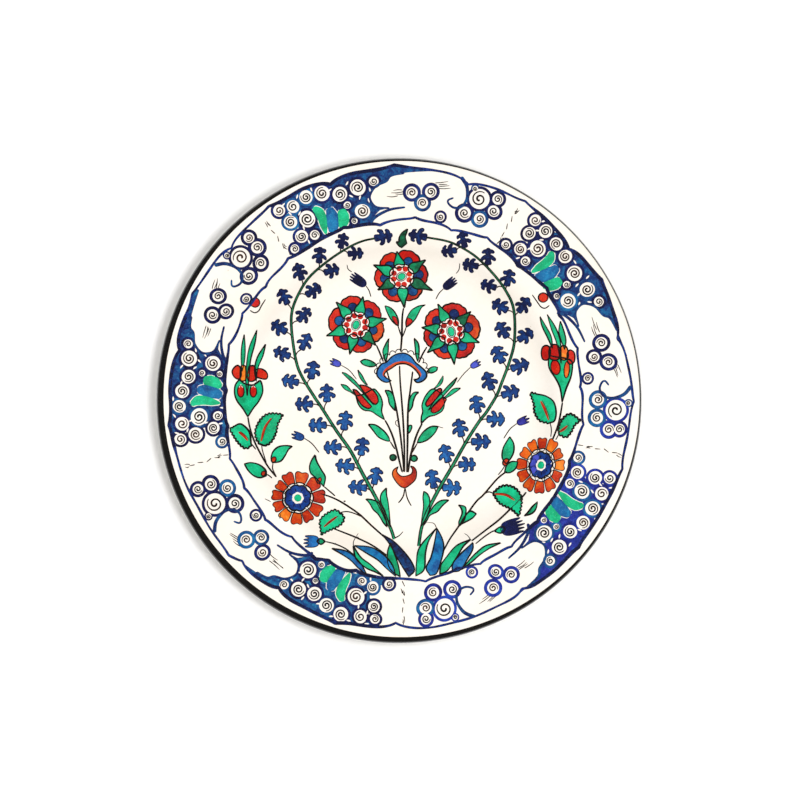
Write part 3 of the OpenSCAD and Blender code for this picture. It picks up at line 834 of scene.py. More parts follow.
def paint_border(number, one):
    body = sea_violet if number == 2 else sea
    rings = rocks_violet if number == 2 else rocks
    top = OUTER.span(one.angle(12.6), one.angle(-29.5))
    hook = one.line([(-29.5, 142), (-26, 140.8), (-22, 139.6), (-19.2, 138.2), (-17.9, 135),
                     (-15.1, 132.6), (-13.2, 127.7), (-13.2, 123.6), (-14.6, 119.7),
                     (-18.4, 118.3)])
    wedge = one.line([(-15.4, 117.6), (-13.0, 113.5), (-11.8, 110.2)])
    foot = INNER.span(one.angle(-11.8), one.angle(15.2))
    side = one.line([(14.4, 113.7), (10.9, 118), (9.6, 124), (11.7, 129.2), (9.8, 134),
                     (11.7, 139)])
    body.fill(np.concatenate([top, hook, wedge, foot, side]), step=0.8,
              tone=0.38 if number in (0, 1, 4) else 0.52)
    placed = []
    for delta, r, size in ROCKS:
        centre = one.at(delta + rng.uniform(-0.25, 0.25), r + rng.uniform(-0.35, 0.35))
        size *= rng.uniform(1.1, 1.18)
        placed.append((inside_band(centre, size), size))
    for centre, size in placed:
        white = size - 0.6
        for there, other in placed:
            apart = np.hypot(*(there - centre))
            if apart > 0:
                white = min(white, (apart - ROCK_GAP) * size / (size + other))
        rock(rings, centre, white + RING_W, white, 2.0 if size > 5 else 1.6)
    for delta, r, size in DRIFT:
        shift = (rng.uniform(-0.3, 0.3), rng.uniform(-0.35, 0.35))
        size *= rng.uniform(1.04, 1.12) * (1.13 if delta < -40 else 1)
        white = size * (0.78 if size > 7 else 0.64)
        paint = rocks_violet if number == 1 and delta < -40 else rings
        centre = inside_band(one.at(delta + shift[0], r + shift[1]), size)
        rock(paint, centre, size, white, 1.7)
    for delta, r in CHIPS:
        a = rng.uniform(0, 2 * math.pi)
        chip = [(-1.5, -0.3), (0.2, -0.5), (1.5, 0.1), (0.1, 0.55)]
        chips.fill(smooth(turn(chip, a, one.at(delta, r)), 0.4, True), step=0.45)
    for name, places, widths in SHELL:
        line = one.line(places)
        shares = np.linspace(0, 1, len(line))
        wide = np.interp(shares, np.linspace(0, 1, len(widths)), widths) * SHELL_GAIN
        shell_white.line(line, wide + SHELL_EDGE, ends=(0.6, 0.6))
        paint = shell_green if name == "green" else shell_blue
        paint.line(line, wide, ends=(0.3, 0.5), tone=0.6)
    tails.line(hook[24:], [1.7, 1.6, 1.5, 1.2], tone=0.1)
    tail = one.line([(-11.8, 109.7), (-13.2, 113), (-15.8, 115.6), (-19, 117.6), (-23.1, 118.7)])
    tails.line(tail, [2.0, 1.9, 1.6, 1.2], tone=0.05)
    curl = one.line([(-37, 142.2), (-38.9, 138), (-39.8, 133.2), (-40, 128.8), (-39.2, 124.2),
                     (-37.2, 122.7), (-35.5, 124.3), (-35.2, 126.4), (-36.5, 128.5)])
    tails.line(curl, [2.4, 2.2, 1.8, 1.6, 1.4, 1.1], tone=0.1)
    for delta, r, heading, strokes, length in (
        (-22, 127.5, 92, 4, 8.0), (-31, 133.5, -76, 4, 8.0), (-53.6, 120, -168, 2, 3.5),
        (-53.4, 136, -12, 2, 3.5),
    ):
        sketch(one, delta, r, heading, strokes, length)
    for k in range(5):
        low = 112.5 + 5.4 * k
        dashes.line(one.line([(-53.5 + rng.uniform(-0.5, 0.5), low),
                              (-53.5 + rng.uniform(-0.5, 0.5), low + 3.6)]),
                    [0.7, 0.45], tone=0.6)


for number, one in enumerate(REPEATS):
    paint_border(number, one)


def stroke_border_line(paint, wavy, heavy, light, from_delta, to_delta):
    """The whole line round, heavier and darker beside the sea."""
    line = wavy.span(0, 360)[:-1]
    degrees = np.degrees(np.arctan2(line[:, 1], line[:, 0]))
    weight = np.zeros(len(line))
    for one in REPEATS:
        start, end = one.angle(from_delta), one.angle(to_delta)
        middle, half = (start + end) / 2, (start - end) / 2
        off = np.abs((degrees - middle + 180) % 360 - 180)
        weight = np.maximum(weight, np.clip((half - off) / 2.5, 0, 1))
    sway = 0.12 * np.sin(np.radians(degrees) * 23) + 0.1 * np.sin(np.radians(degrees) * 57)
    paint.line(line, light + (heavy - light) * weight + sway, True, tone=0.3 - 0.3 * weight)


stroke_border_line(outer_line, OUTER, 2.2, 1.5, 15, -24)
stroke_border_line(inner_line, INNER, 2.2, 1.6, 17, -15)

# ---- Leaves and flowers -------------------------------------------------------------------
# Places from here on are mm from the pattern's centre, +Y to its top.
fine = Paint("leaf_outlines", BLACK, "black_brown_paint", 0.21)
flower_lines = Paint("flower_outlines", BLACK, "black_brown_paint", 0.21)
OUTLINE_GAIN = 1.6
TOOTH_W, TOOTH_DEPTH, TOOTH_STEP = 2.2, 1.25, 0.35


def shape(paint, outline, tone, width, lines=fine):
    """A painted patch with a thin dark outline, or with none where the width is 0."""
    paint.fill(outline, tone=tone)
    if width:
        even = evenly(outline, STEP, True)
        sway = [OUTLINE_GAIN * width * rng.uniform(0.7, 1.2) for _ in range(7)]
        lines.line(even, sway + sway[:1], True, tone=rng.uniform(0.0, 0.4))


def leaf(paint, base, one_side, tip, other_side, tone=0.5, width=0.55, lines=fine):
    outline = joined([base, *one_side, tip], [tip, *other_side, base])
    shape(paint, outline, tone, width, lines)


def frilled(outline, last):
    """The outline with small rounded teeth from its start to a share of its length."""
    even = evenly(outline, TOOTH_STEP, True)
    ahead = np.roll(even, -1, 0) - np.roll(even, 1, 0)
    ahead /= np.maximum(np.hypot(*ahead.T), 1e-9)[:, None]
    x, y = even.T
    area = (x * np.roll(y, -1) - np.roll(x, -1) * y).sum()
    out = np.column_stack([ahead[:, 1], -ahead[:, 0]]) * (1 if area > 0 else -1)
    share = np.linspace(0, 1, len(even))
    teeth = np.abs(np.sin(np.arange(len(even)) * TOOTH_STEP * math.pi / TOOTH_W)) - 0.4
    teeth *= TOOTH_DEPTH * ((share > 0) & (share < last))
    return even + out * teeth[:, None]


# ---- Roses --------------------------------------------------------------------------------
rose_red = Paint("rose_petals_red", RED, "red_paint", 0.11, ("rose_petals",))
rose_orange = Paint("rose_petals_orange", EMBER, "red_paint", 0.11)
rose_blue = Paint("rose_blue_patches", TEAL, "cobalt_paint", 0.15)
rose_green = Paint("rose_sepals_green", GREEN, "teal_paint", 0.19, ("rose_sepals",))
rose_dark_green = Paint("rose_sepals_dark", LEAF, "green_paint", 0.19)
rose_white = Paint("rose_white_rings", RESERVE, "white_glaze", 0.23)
rose_dots = Paint("rose_red_dots", RED, "red_paint", 0.27, ("rose_centres",))
rose_heart_white = Paint("rose_heart_whites", RESERVE, "white_glaze", 0.27)
rose_heart = Paint("rose_hearts", GREEN, "teal_paint", 0.31)
petal_lines = Paint("rose_petal_outlines", BLACK, "black_brown_paint", 0.17)
rose_lines = Paint("rose_outlines", BLACK, "black_brown_paint", 0.31)
ORANGE_PETAL = 4
FIRST_DOT = 20
DOT_INSET = 2.75
HALF_SEPAL = [(6.4, 2.3), (8.4, 3.3), (10.6, 3.0), (13.2, 1.7)]
SEPAL_LENGTH = 18


def rose(centre, sepals, petal_r, blues, white_r, dots, dot_r, heart, tilt, dark):
    """A rose from its petals up: sepals and blue patches are (degrees, mm) from its centre."""
    centre = np.asarray(centre, float)
    tips = sorted(sepals, reverse=True)
    for k, (here, _) in enumerate(tips):
        after = tips[(k + 1) % len(tips)][0]
        gap = (here - after) % 360
        arc = np.linspace(here - 0.06 * gap, here - 0.94 * gap, 25)
        t = np.linspace(0, 1, 25)
        outer = petal_r * rng.uniform(0.97, 1.03) * (0.87 + 0.13 * np.sin(math.pi * t) ** 0.6)
        outer += 0.45 * np.abs(np.sin(math.pi * t * rng.choice((3, 3, 4)))) - 0.2
        rim = [centre + direction(a) * r for a, r in zip(arc, outer)]
        wide = [centre + direction(a) * 9.2 for a in arc[[21, 12, 3]]]
        paint = rose_orange if k == ORANGE_PETAL else rose_red
        shape(paint, np.array(rim + wide), rng.uniform(0.25, 0.7), 0.6, petal_lines)
    for a, r in blues:
        spot = ring(centre + direction(a) * r, rng.uniform(3.3, 3.8), 20, 0.88, math.radians(a))
        shape(rose_blue, spot, rng.uniform(0.0, 0.4), 0.35, petal_lines)
    for k, (a, length) in enumerate(sepals):
        side = [(x * length / SEPAL_LENGTH, y) for x, y in HALF_SEPAL]
        upper = turn(side, math.radians(a), centre)
        lower = turn([(x, -y) for x, y in side[::-1]], math.radians(a), centre)
        tip = centre + direction(a + rng.uniform(-1.5, 1.5)) * length
        base = centre + direction(a) * 5.6
        paint = rose_dark_green if k in dark else rose_green
        leaf(paint, base, upper.tolist(), tip, lower.tolist(), rng.uniform(0.3, 0.7), 0.6, rose_lines)
    ground = lobed(centre, white_r, dots, 0.13, math.radians(FIRST_DOT))
    shape(rose_white, ground, 0.5, 0.5, rose_lines)
    for k in range(dots):
        a = FIRST_DOT + 360 * k / dots + rng.uniform(-4, 4)
        spot = centre + direction(a) * (white_r - DOT_INSET)
        shape(rose_dots, ring(spot, dot_r, 14), rng.uniform(0.2, 0.7), 0)
    around = ring(centre, heart[1] + 0.85, 24, (heart[0] + 0.7) / (heart[1] + 0.85), tilt)
    shape(rose_heart_white, around, 0.5, 0.35, rose_lines)
    oval = ring(centre, heart[1], 20, heart[0] / heart[1], tilt)
    shape(rose_heart, oval, 0.7, 0.3, rose_lines)


rose((0, 76.1), [(101, 15.9), (35, 18.2), (-24, 21.1), (-86, 19.6), (210.6, 17.1), (158, 18.8)],
     16.6, [(66, 9.5), (6, 10), (-52, 11), (240, 10.4), (186.5, 10), (140, 9)],
     7.9, 8, 1.8, (2.0, 2.4), 0.4, dark=(1, 2, 4))
rose((-28.3, 46), [(75, 18.3), (11, 19.6), (-46, 17.8), (258, 18.7), (201, 19.7), (130, 19)],
     17.6, [(44, 10.3), (-17, 10.5), (-72, 10.3), (229, 10.3), (166, 10.3), (101, 10.3)],
     8.6, 9, 1.85, (2.0, 2.7), 1.2, dark=(2,))
rose((30.7, 41.9), [(115, 19.2), (46, 17.6), (-22, 19.1), (276, 20.6), (222, 19.9), (171, 18.5)],
     17.6, [(80, 10.5), (14, 10.5), (-52, 10.5), (249, 10.3), (197, 10.5), (143, 10.3)],
     8.5, 9, 1.85, (2.0, 2.9), 1.9, dark=(1,))

# ---- The bunch between the hyacinths ------------------------------------------------------
bunch_stems = Paint("bunch_stems", BLACK, "black_brown_paint", 0.13, ("vase_stems",))
bunch_leaves = Paint("bunch_leaves", GREEN, "teal_paint", 0.12, ("stem_leaves",))
bunch_dark = Paint("bunch_leaves_dark", LEAF, "green_paint", 0.12)
bunch_red = Paint("bunch_red_touches", RED, "red_paint", 0.16)
band_blue = Paint("cloud_band_blue", BELL, "cobalt_paint", 0.12, ("cloud_band",))
band_red = Paint("cloud_band_red", EMBER, "red_paint", 0.16)
vase_red = Paint("vase_red", EMBER, "red_paint", 0.12, ("vase",))

for line, wide in (
    ([(1.2, 56.6), (0.4, 50.4), (0.1, 38.4), (-0.6, 29.4)], 1.3),
    ([(-1.3, 20.8), (-0.9, 11), (0.1, -1.6), (1, -14.2), (1.7, -29.9), (1.8, -45.4)], 1.2),
    ([(-9.1, 17.4), (-7.2, 10.4), (-5, 1.6), (-3.0, -7.5), (-0.8, -22), (0.8, -37), (1.4, -45.4)],
     1.2),
    ([(6.9, 17.2), (5.4, 5.5), (4.0, -6.6), (3.7, -26), (3.3, -45.6)], 1.3),
    ([(-15.7, 33.6), (-13.4, 28.3), (-11.3, 23)], 1.1),
    ([(15.8, 32.5), (13.1, 28), (10.5, 22.3)], 1.1),
    ([(-10.4, -13), (-8.1, -17.2), (-5.6, -23), (-3.5, -29.8), (-2, -36), (-0.4, -42.5),
      (0.5, -45.6)], 1.3),
    ([(12.8, -15.1), (10.0, -20.7), (8.0, -26.3), (6.2, -32.8), (4.9, -39.1), (4.0, -45.6)], 1.4),
    ([(-7.2, -26.2), (-5.5, -29), (-4.1, -31.2)], 0.9),
    ([(9.8, -27.4), (8, -30.6), (6.4, -33.6)], 0.9),
    ([(22.8, -17), (24.6, -17.7), (26, -18)], 0.45),
    ([(2, -55.4), (1.2, -59.8), (-0.5, -62.8), (-2.1, -64.6)], 0.9),
    ([(2.3, -55.4), (3.2, -60.5), (4.6, -63.9), (6.1, -66.5)], 0.8),
    ([(-2.4, 45.9), (-1.1, 41.8), (0.0, 38.6)], 0.8),
    ([(3.0, 45.2), (1.7, 41.4), (0.4, 38.4)], 0.8),
    ([(-2.1, -13.2), (-3.5, -13.6), (-3.7, -15.5), (-2.1, -17.3)], 0.5),
):
    bunch_stems.line(smooth(line), [wide * 0.8, wide, wide * 1.05, wide * 0.85], tone=0.5)

leaf(bunch_dark, (0.1, 93.8), [(-1.1, 94.4), (-2.1, 95.4), (-3.4, 97.6), (-1.8, 97.2), (-1.5, 99.8),
     (0.1, 102.9)], (3.7, 105.3), [(3.2, 102.9), (2.3, 100.4), (3.1, 97.2), (3.3, 96.4),
     (2, 95.4)], 0.25)
leaf(bunch_leaves, (-1.9, 45.4), [(-3.7, 46.3), (-6.9, 49.8), (-9.4, 54.8)], (-10.4, 58.0),
     [(-6.9, 56.7), (-4, 53.6), (-2.0, 49.2)])
leaf(bunch_leaves, (2.9, 44.7), [(2.6, 47.9), (3.9, 51.7), (6.4, 55.4), (10.7, 57.8)], (14.9, 58.5),
     [(12.4, 56.9), (10.4, 53.2), (8.4, 49.6), (5.1, 46)])
leaf(bunch_red, (-2.3, 45.9), [(-3.9, 47), (-5.9, 50.2)], (-5.6, 51.6), [(-3.6, 51), (-2.6, 48.6)],
     width=0.3)
leaf(bunch_red, (3.1, 45.2), [(2.9, 47.6)], (3.6, 50.6), [(6.2, 49.4), (6.7, 47.9), (5, 46.4)],
     width=0.3)
for base, one_side, tip, other_side in (
    ((-10, 23), [(-11.3, 27.1), (-11.6, 30.2), (-10, 34)], (-7.8, 37.8),
     [(-8.2, 34.6), (-8.4, 29), (-9.4, 24.6)]),
    ((9.9, 23.3), [(8.9, 27.1), (8.4, 32.1)], (7.8, 37.8), [(10.2, 35), (10.9, 31), (10.7, 26)]),
    ((-15.7, 21.1), [(-16.9, 22.5), (-19.5, 23.9), (-23, 24.6)], (-25.6, 23.4),
     [(-23.9, 21.4), (-20.1, 20.1), (-17.5, 20.2)]),
    ((15.8, 17), [(17.5, 19.2), (20, 20.1)], (22.3, 19.7), [(21.6, 17.6), (18.6, 16.2)]),
    ((-4, -7.2), [(-5.3, -6), (-7.6, -3.0), (-8.4, 1)], (-10.3, 5.4),
     [(-7.2, 4.9), (-5, 2), (-4.2, -1.8)]),
    ((4.4, -8.2), [(4.6, -2), (5.9, 2), (7.9, 4.2)], (10.8, 4.2), [(8.8, 2.5), (7.3, -1.2),
     (6.5, -5)]),
    ((4.2, -21.4), [(4, -18.8), (4.6, -16.5)], (6.4, -16.3), [(6.2, -18.2), (5.4, -20.1)]),
    ((-7.3, -26.3), [(-10, -25.8), (-14.4, -23.6), (-17.6, -19.7)], (-20.7, -15.7),
     [(-16.3, -16.1), (-11.3, -19.6), (-8.2, -23.4)]),
    ((9.7, -27.2), [(11.1, -23.6), (14, -19.9), (18.4, -17.1)], (22.8, -17.0),
     [(20.6, -21.1), (16.8, -24.9), (12.7, -26.8)]),
):
    leaf(bunch_leaves, base, one_side, tip, other_side, rng.uniform(0.3, 0.7))
for spot in ((-5.4, -36.3), (7.7, -36.9)):
    shape(bunch_dark, ring(spot, 2.0, 16, 0.95), 0.6, 0.6)

band = joined(
    [(-6.4, 11.4), (-9.0, 10.4), (-12, 11.2), (-15.1, 14.3), (-15.1, 17.9), (-12.5, 21.7),
     (-9.4, 22.9), (-6.2, 26.2), (-2.4, 28.1), (2, 28.4), (5.8, 26.4), (8.6, 22.8), (11.6, 20.3),
     (15.0, 17), (15.5, 13.8), (12.9, 11.1), (9.5, 10.3), (7.6, 12.2)],
    [(7.6, 12.2), (9.8, 12.4), (11.2, 14.2), (9.0, 17.6), (5.8, 20.4), (2, 21.9), (-2.4, 21.6),
     (-6.2, 19.2), (-9.6, 17.0), (-10.9, 14.6), (-9, 12.8), (-6.4, 11.4)],
)
shape(band_blue, band, 0.95, 0.6, flower_lines)
band_red.line(smooth([(-9.4, 13.4), (-11.1, 15.1), (-9.8, 17.8), (-6.4, 20.3), (-2.6, 22.1),
                      (2, 22.5), (5.8, 21.2), (9.0, 18.5), (11.6, 15.5), (10.8, 13.2)]),
              [1.0, 2.0, 2.2, 2.2, 2.2, 2.0, 1.0], tone=0.6)
loop = [direction(b) * 1.75 for b in range(-100, 101, 25)]
for k in range(12):
    a = 162 - 13 * k
    spot = np.array([0.2, 12.2]) + direction(a) * (15.7 + 1.4 * math.cos(math.radians(a - 90)))
    flower_lines.line(turn(loop, math.radians(a), spot), 0.6, tone=0.3)

vase = joined(
    [(-2.1, -42.0), (-5, -44.0), (-5.7, -47.2), (-3.7, -51), (-0.8, -54.2), (2.0, -55.4)],
    [(2.0, -55.4), (5.1, -53.4), (8.6, -49.9), (9.3, -45.3), (7.8, -42.4), (5.4, -41.6)],
    [(5.4, -41.6), (6.8, -44.0), (5.8, -46.6), (2.0, -48.0), (-0.8, -47.6), (-3.0, -44.9),
     (-2.1, -42.0)],
)


def vase_tone(xy):
    """Orange at the left of the vase, dark red at its right."""
    return np.clip(0.85 - (xy[:, 0] + 4) * 0.075, 0.1, 0.95)


vase_red.fill(vase, tone=vase_tone)
flower_lines.line(evenly(vase, STEP, True), 0.7, True)

# ---- Tulips -------------------------------------------------------------------------------
cups = Paint("tulip_cups_green", GREEN, "teal_paint", 0.11, ("tulip_leaves",))
petals = Paint("tulip_petals_red", RED, "red_paint", 0.16, ("tulip_petals",))
petals_orange = Paint("tulip_petals_orange", ORANGE, "red_paint", 0.16)
blades = Paint("tulip_blades", GREEN, "teal_paint", 0.17)

leaf(cups, (-10.6, -12.9), [(-15.1, -10.1), (-19, -7.6), (-23.6, -6.8), (-26.8, -3.3)],
     (-28.4, 1.9), [(-23.3, 3.2), (-17.6, 6.2), (-15.2, 4.7), (-12.9, 1.3), (-11.9, -2.8),
     (-12.4, -7.6)], 0.6)
leaf(petals, (-18.6, -4.7), [(-20.7, -5.9), (-24.5, -3.9), (-27.3, 0.0)], (-30.3, 6),
     [(-28.0, 5.4), (-24.7, 2.1), (-21.6, -1.4)])
leaf(petals, (-16.3, -3.5), [(-18.8, -1.6), (-21.7, 2.2), (-24.7, 6)], (-26.1, 8.8),
     [(-22.4, 8.2), (-18.4, 6.0), (-15.4, 2.4), (-14.6, -1.6)])
leaf(blades, (-17.4, -3.6), [(-21.3, 0.6), (-24.3, 4.1), (-28.4, 8.3), (-32.5, 11.9)],
     (-37.3, 16.6), [(-34.6, 15.9), (-30.2, 12.6), (-26.4, 8.3), (-22.4, 3.0)], width=0.5)
leaf(blades, (-28.6, 2.2), [(-31.6, 4.2), (-35.6, 6.3)], (-37.9, 9.3), [(-34.4, 8.4),
     (-31.5, 5.6)], width=0.4)
leaf(blades, (-21, 8.5), [(-22.9, 9.6), (-25.9, 13.4)], (-27.3, 18.3), [(-24.5, 14.6),
     (-22.4, 10.6)], width=0.4)
leaf(cups, (12.2, -15.2), [(12.3, -11), (13.1, -7.9), (12.7, -3.5), (15.0, 2.2), (19.6, 6.3)],
     (25.3, 2.6), [(26.6, -2.7), (25.3, -7.2), (20.9, -9.9), (16.5, -11.2)], 0.6)
leaf(petals, (15.8, -4.7), [(14.9, -2.8), (16.9, 0.6), (20.7, 4.9)], (23.8, 6.7),
     [(25.0, 5.5), (22.2, 1), (18.4, -3.2)])
leaf(petals, (18.1, -7.6), [(19.4, -4.4), (23.2, -0.6), (26.1, 1.2)], (27.9, -0.1),
     [(26.1, -3.6), (23.6, -7.0), (20, -8.7)])
leaf(blades, (16.5, -7.0), [(20.4, -1.4), (24.9, 3.7), (29.0, 8.3)], (34.6, 13.6),
     [(32.4, 9.3), (28.2, 4.5), (23.6, -0.6), (19.6, -4.6)], width=0.5)
leaf(blades, (19.6, 6), [(22.2, 8.9), (23.9, 11.6)], (25.8, 14.7), [(25.7, 11.4),
     (23.6, 8.2)], width=0.4)
leaf(blades, (25.3, -0.3), [(28.2, 2.6), (32.1, 6.3)], (36.8, 6.8), [(33.7, 4.4),
     (29.4, 1.6)], width=0.4)

# ---- Hyacinths ----------------------------------------------------------------------------
hyacinth_stem = Paint("hyacinth_stems_green", LEAF, "green_paint", 0.12, ("hyacinth_stems",))
pedicels = Paint("hyacinth_pedicels", BLACK, "black_brown_paint", 0.11)
bells_left = Paint("hyacinth_bells_left", BELL, "cobalt_paint", 0.13, ("hyacinth_blossoms_left",))
bells_right = Paint("hyacinth_bells_right", BELL, "cobalt_paint", 0.13, ("hyacinth_blossoms_right",))
bell_lines = Paint("hyacinth_outlines", NAVY, "cobalt_paint", 0.2)
hyacinth_leaves = Paint("hyacinth_leaves", GREEN, "teal_paint", 0.14)

# One side of a bell, along its own axis; its middle is at BELL_MIDDLE.
BELL_MIDDLE = 6.2
BELL_HALF = [
    (0.1, 2.0), (1.5, 2.5), (3.1, 2.1), (4.1, 2.2), (4.0, 3.4), (3.0, 4.5), (3.2, 5.7),
    (4.7, 5.8), (6.2, 4.7), (6.9, 3.1), (7.2, 2.0), (8.1, 1.7), (8.8, 2.7), (8.4, 4.0),
    (9.3, 4.9), (10.7, 4.2), (11.5, 2.9), (11.5, 1.8), (12.3, 1.3), (13.0, 0.7),
]
LEFT_STEM = [
    (-4.6, -87.1), (-7.1, -79.7), (-15.1, -63), (-23.8, -47.2), (-31.8, -32.1), (-40.5, -19.7),
    (-50.4, -4.3), (-53.8, 0.7), (-62.1, 14.3), (-65.8, 24.8), (-68.3, 42.7), (-68, 54.4),
    (-64, 65), (-57.2, 75.5), (-46, 85.3), (-33.7, 93.4), (-24.4, 97.7), (-15.9, 99.6),
]
RIGHT_STEM = [
    (10.5, -91.4), (12.7, -78.7), (17.6, -66.7), (23.8, -54.9), (31.8, -41.3), (40.5, -25.9),
    (48.5, -13.5), (52.8, -8), (59, 2.2), (62.1, 9.9), (67.1, 23.5), (70.1, 36.5), (69.5, 55.7),
    (64, 68), (55.9, 78.5), (46.4, 87.8), (36.8, 94), (28.1, 97.7), (14.8, 100.2),
]


def bell(paint, centre, heading, scale, tone):
    half = [(x * scale * rng.uniform(0.96, 1.04), y * scale * rng.uniform(0.92, 1.05))
            for x, y in BELL_HALF]
    other = [(x, -y * rng.uniform(0.92, 1.05)) for x, y in half[::-1]]
    outline = turn(np.array(half + other) - (BELL_MIDDLE * scale, 0), heading, centre)
    outline = smooth(outline, 0.45, True)
    paint.fill(outline, tone=tone, step=0.5)
    bell_lines.line(evenly(outline, 0.55, True), 0.75 * scale, True, tone=0.1)


def hyacinth(paint, line, *rows):
    """A stem and its bells. A row is (side, first, gap, count, reaches, leans) along the stem."""
    step = 0.5
    stem = smooth(line, step)
    along = np.arange(len(stem)) * step
    span = along[-1]
    main = stem[::2]
    wide = np.interp(np.linspace(0, 1, len(main)), (0, 0.15, 0.4, 0.7, 1), (1.4, 1.8, 1.4, 1.2, 0.8))
    hyacinth_stem.line(main, wide, tone=np.linspace(0.9, 0.25, len(main)))
    ahead = np.gradient(main, axis=0)
    across = np.column_stack([-ahead[:, 1], ahead[:, 0]]) / np.hypot(*ahead.T)[:, None]
    for side in (-1, 1):
        flower_lines.line(main + across * side * wide[:, None] * 0.5, [0.7, 0.65, 0.6, 0.5])

    def spot(s):
        return np.array([np.interp(s, along, stem[:, k]) for k in (0, 1)])

    def at(s):
        ahead = spot(s + 1) - spot(s - 1)
        return spot(s), ahead / np.hypot(*ahead)

    for side, first, gap, count, reach, lean in rows:
        for k in range(count):
            s = first + gap * k
            share = k / (count - 1)
            here, ahead = at(min(s, span - 2))
            across = np.array([-ahead[1], ahead[0]]) * side
            away = np.interp(share, (0, 0.15, 0.7, 1), reach)
            centre = here + across * away + ahead * rng.uniform(-0.6, 0.6)
            angle = np.interp(share, (0, 0.5, 1), lean) + rng.uniform(-5, 5)
            heading = math.atan2(ahead[1], ahead[0]) + side * math.radians(angle)
            scale = np.interp(share, (0, 0.5, 1), (0.86, 0.86, 0.74)) * rng.uniform(0.96, 1.05)
            tone = np.clip(0.75 - 0.85 * share + rng.uniform(-0.12, 0.12), 0.02, 0.95)
            bell(paint, centre, heading, scale, float(tone))
            root, _ = at(max(s - np.interp(share, (0, 1), (8.5, 6.5)), 0))
            foot = centre - np.array([math.cos(heading), math.sin(heading)]) * 6.0 * scale
            middle = (root + foot) / 2 + (ahead - across * 0.6) * 0.6
            pedicels.line(smooth([root, middle, foot]), [0.8, 0.7, 0.9], tone=0.8)
    end, ahead = at(span - 1)
    bell(paint, end + ahead * 5.5, math.atan2(ahead[1], ahead[0]), 0.85, 0.05)


NEAR, FAR = (6.4, 7.6, 6.2, 4.4), (6.4, 7.8, 7.4, 5.2)
hyacinth(bells_left, LEFT_STEM, (1, 38.7, 15.7, 12, FAR, (58, 56, 50)),
         (-1, 40.2, 19.4, 10, FAR, (40, 36, 22)))
hyacinth(bells_right, RIGHT_STEM, (1, 41.5, 17.8, 11, FAR, (42, 42, 24)),
         (-1, 42.4, 17.2, 11, NEAR, (58, 56, 46)))

for base, one_side, tip, other_side in (
    ((-9.1, -79.4), [(-11.3, -76.9), (-14.4, -71.8), (-17.6, -68.7), (-19.8, -64.9)],
     (-22.3, -62.1), [(-18.8, -62.5), (-14.6, -64.2), (-12.3, -68.7), (-10, -73.9)]),
    ((-7.0, -79.6), [(-8.8, -74.5), (-10.4, -69.5), (-12.5, -65.5), (-13.2, -62.4),
     (-12.5, -58.6)], (-9.4, -55.1), [(-9.4, -59.2), (-8.4, -64), (-7.6, -71.2)]),
    ((12.1, -79.1), [(12.7, -73.1), (13.6, -66.8), (13.3, -61.1)], (13.8, -57.3),
     [(16.3, -59.2), (17.5, -63), (17.1, -68.7), (15.0, -74.3)]),
    ((13.8, -78.5), [(15.2, -74.3), (18.1, -69.3), (20.9, -65.5), (24.7, -63)],
     (29.4, -62.7), [(25.5, -66.1), (22.2, -69.9), (17.7, -72.2), (15.8, -75.4)]),
):
    leaf(hyacinth_leaves, base, one_side, tip, other_side, 0.55)
pedicels.line(smooth([(-4.3, -86.3), (-1.5, -84.8), (1, -82.2)]), [0.9, 0.4])

# ---- Sides and foot of the pattern --------------------------------------------------------
side_stems = Paint("side_stems", BLACK, "black_brown_paint", 0.13, ("tulip_stems",))
ros_petals = Paint("side_rosette_petals_red", EMBER, "red_paint", 0.11, ("side_rosette_petals",))
ros_orange = Paint("side_rosette_petals_orange", ORANGE, "red_paint", 0.11)
ros_white = Paint("side_rosette_whites", RESERVE, "white_glaze", 0.13)
ros_rings = Paint("side_rosette_blue_rings", COBALT, "cobalt_paint", 0.16, ("side_rosette_rings",))
ros_violet = Paint("side_rosette_violet_lobes", VIOLET, "cobalt_paint", 0.18)
ros_gap = Paint("side_rosette_inner_whites", RESERVE, "white_glaze", 0.20)
ros_eyes = Paint("side_rosette_green_eyes", GREEN, "teal_paint", 0.24, ("side_rosette_eyes",))
serrated = Paint("serrated_leaves_green", GREEN, "teal_paint", 0.12, ("serrated_leaves",))
ribs = Paint("red_ribs_and_touches", EMBER, "red_paint", 0.17)
buds = Paint("buds_navy", NAVY, "cobalt_paint", 0.13, ("blue_buds",))
buds_blue = Paint("buds_blue", BELL, "cobalt_paint", 0.13)
buds_light = Paint("buds_light", VIOLET, "cobalt_paint", 0.13)
berries = Paint("berries_red", RED, "red_paint", 0.14, ("red_berries",))
tuft_blue = Paint("tuft_blades_blue", TUFT, "cobalt_paint", 0.14, ("grass_tuft",))
tuft_green = Paint("tuft_blades_green", GREEN, "teal_paint", 0.13)

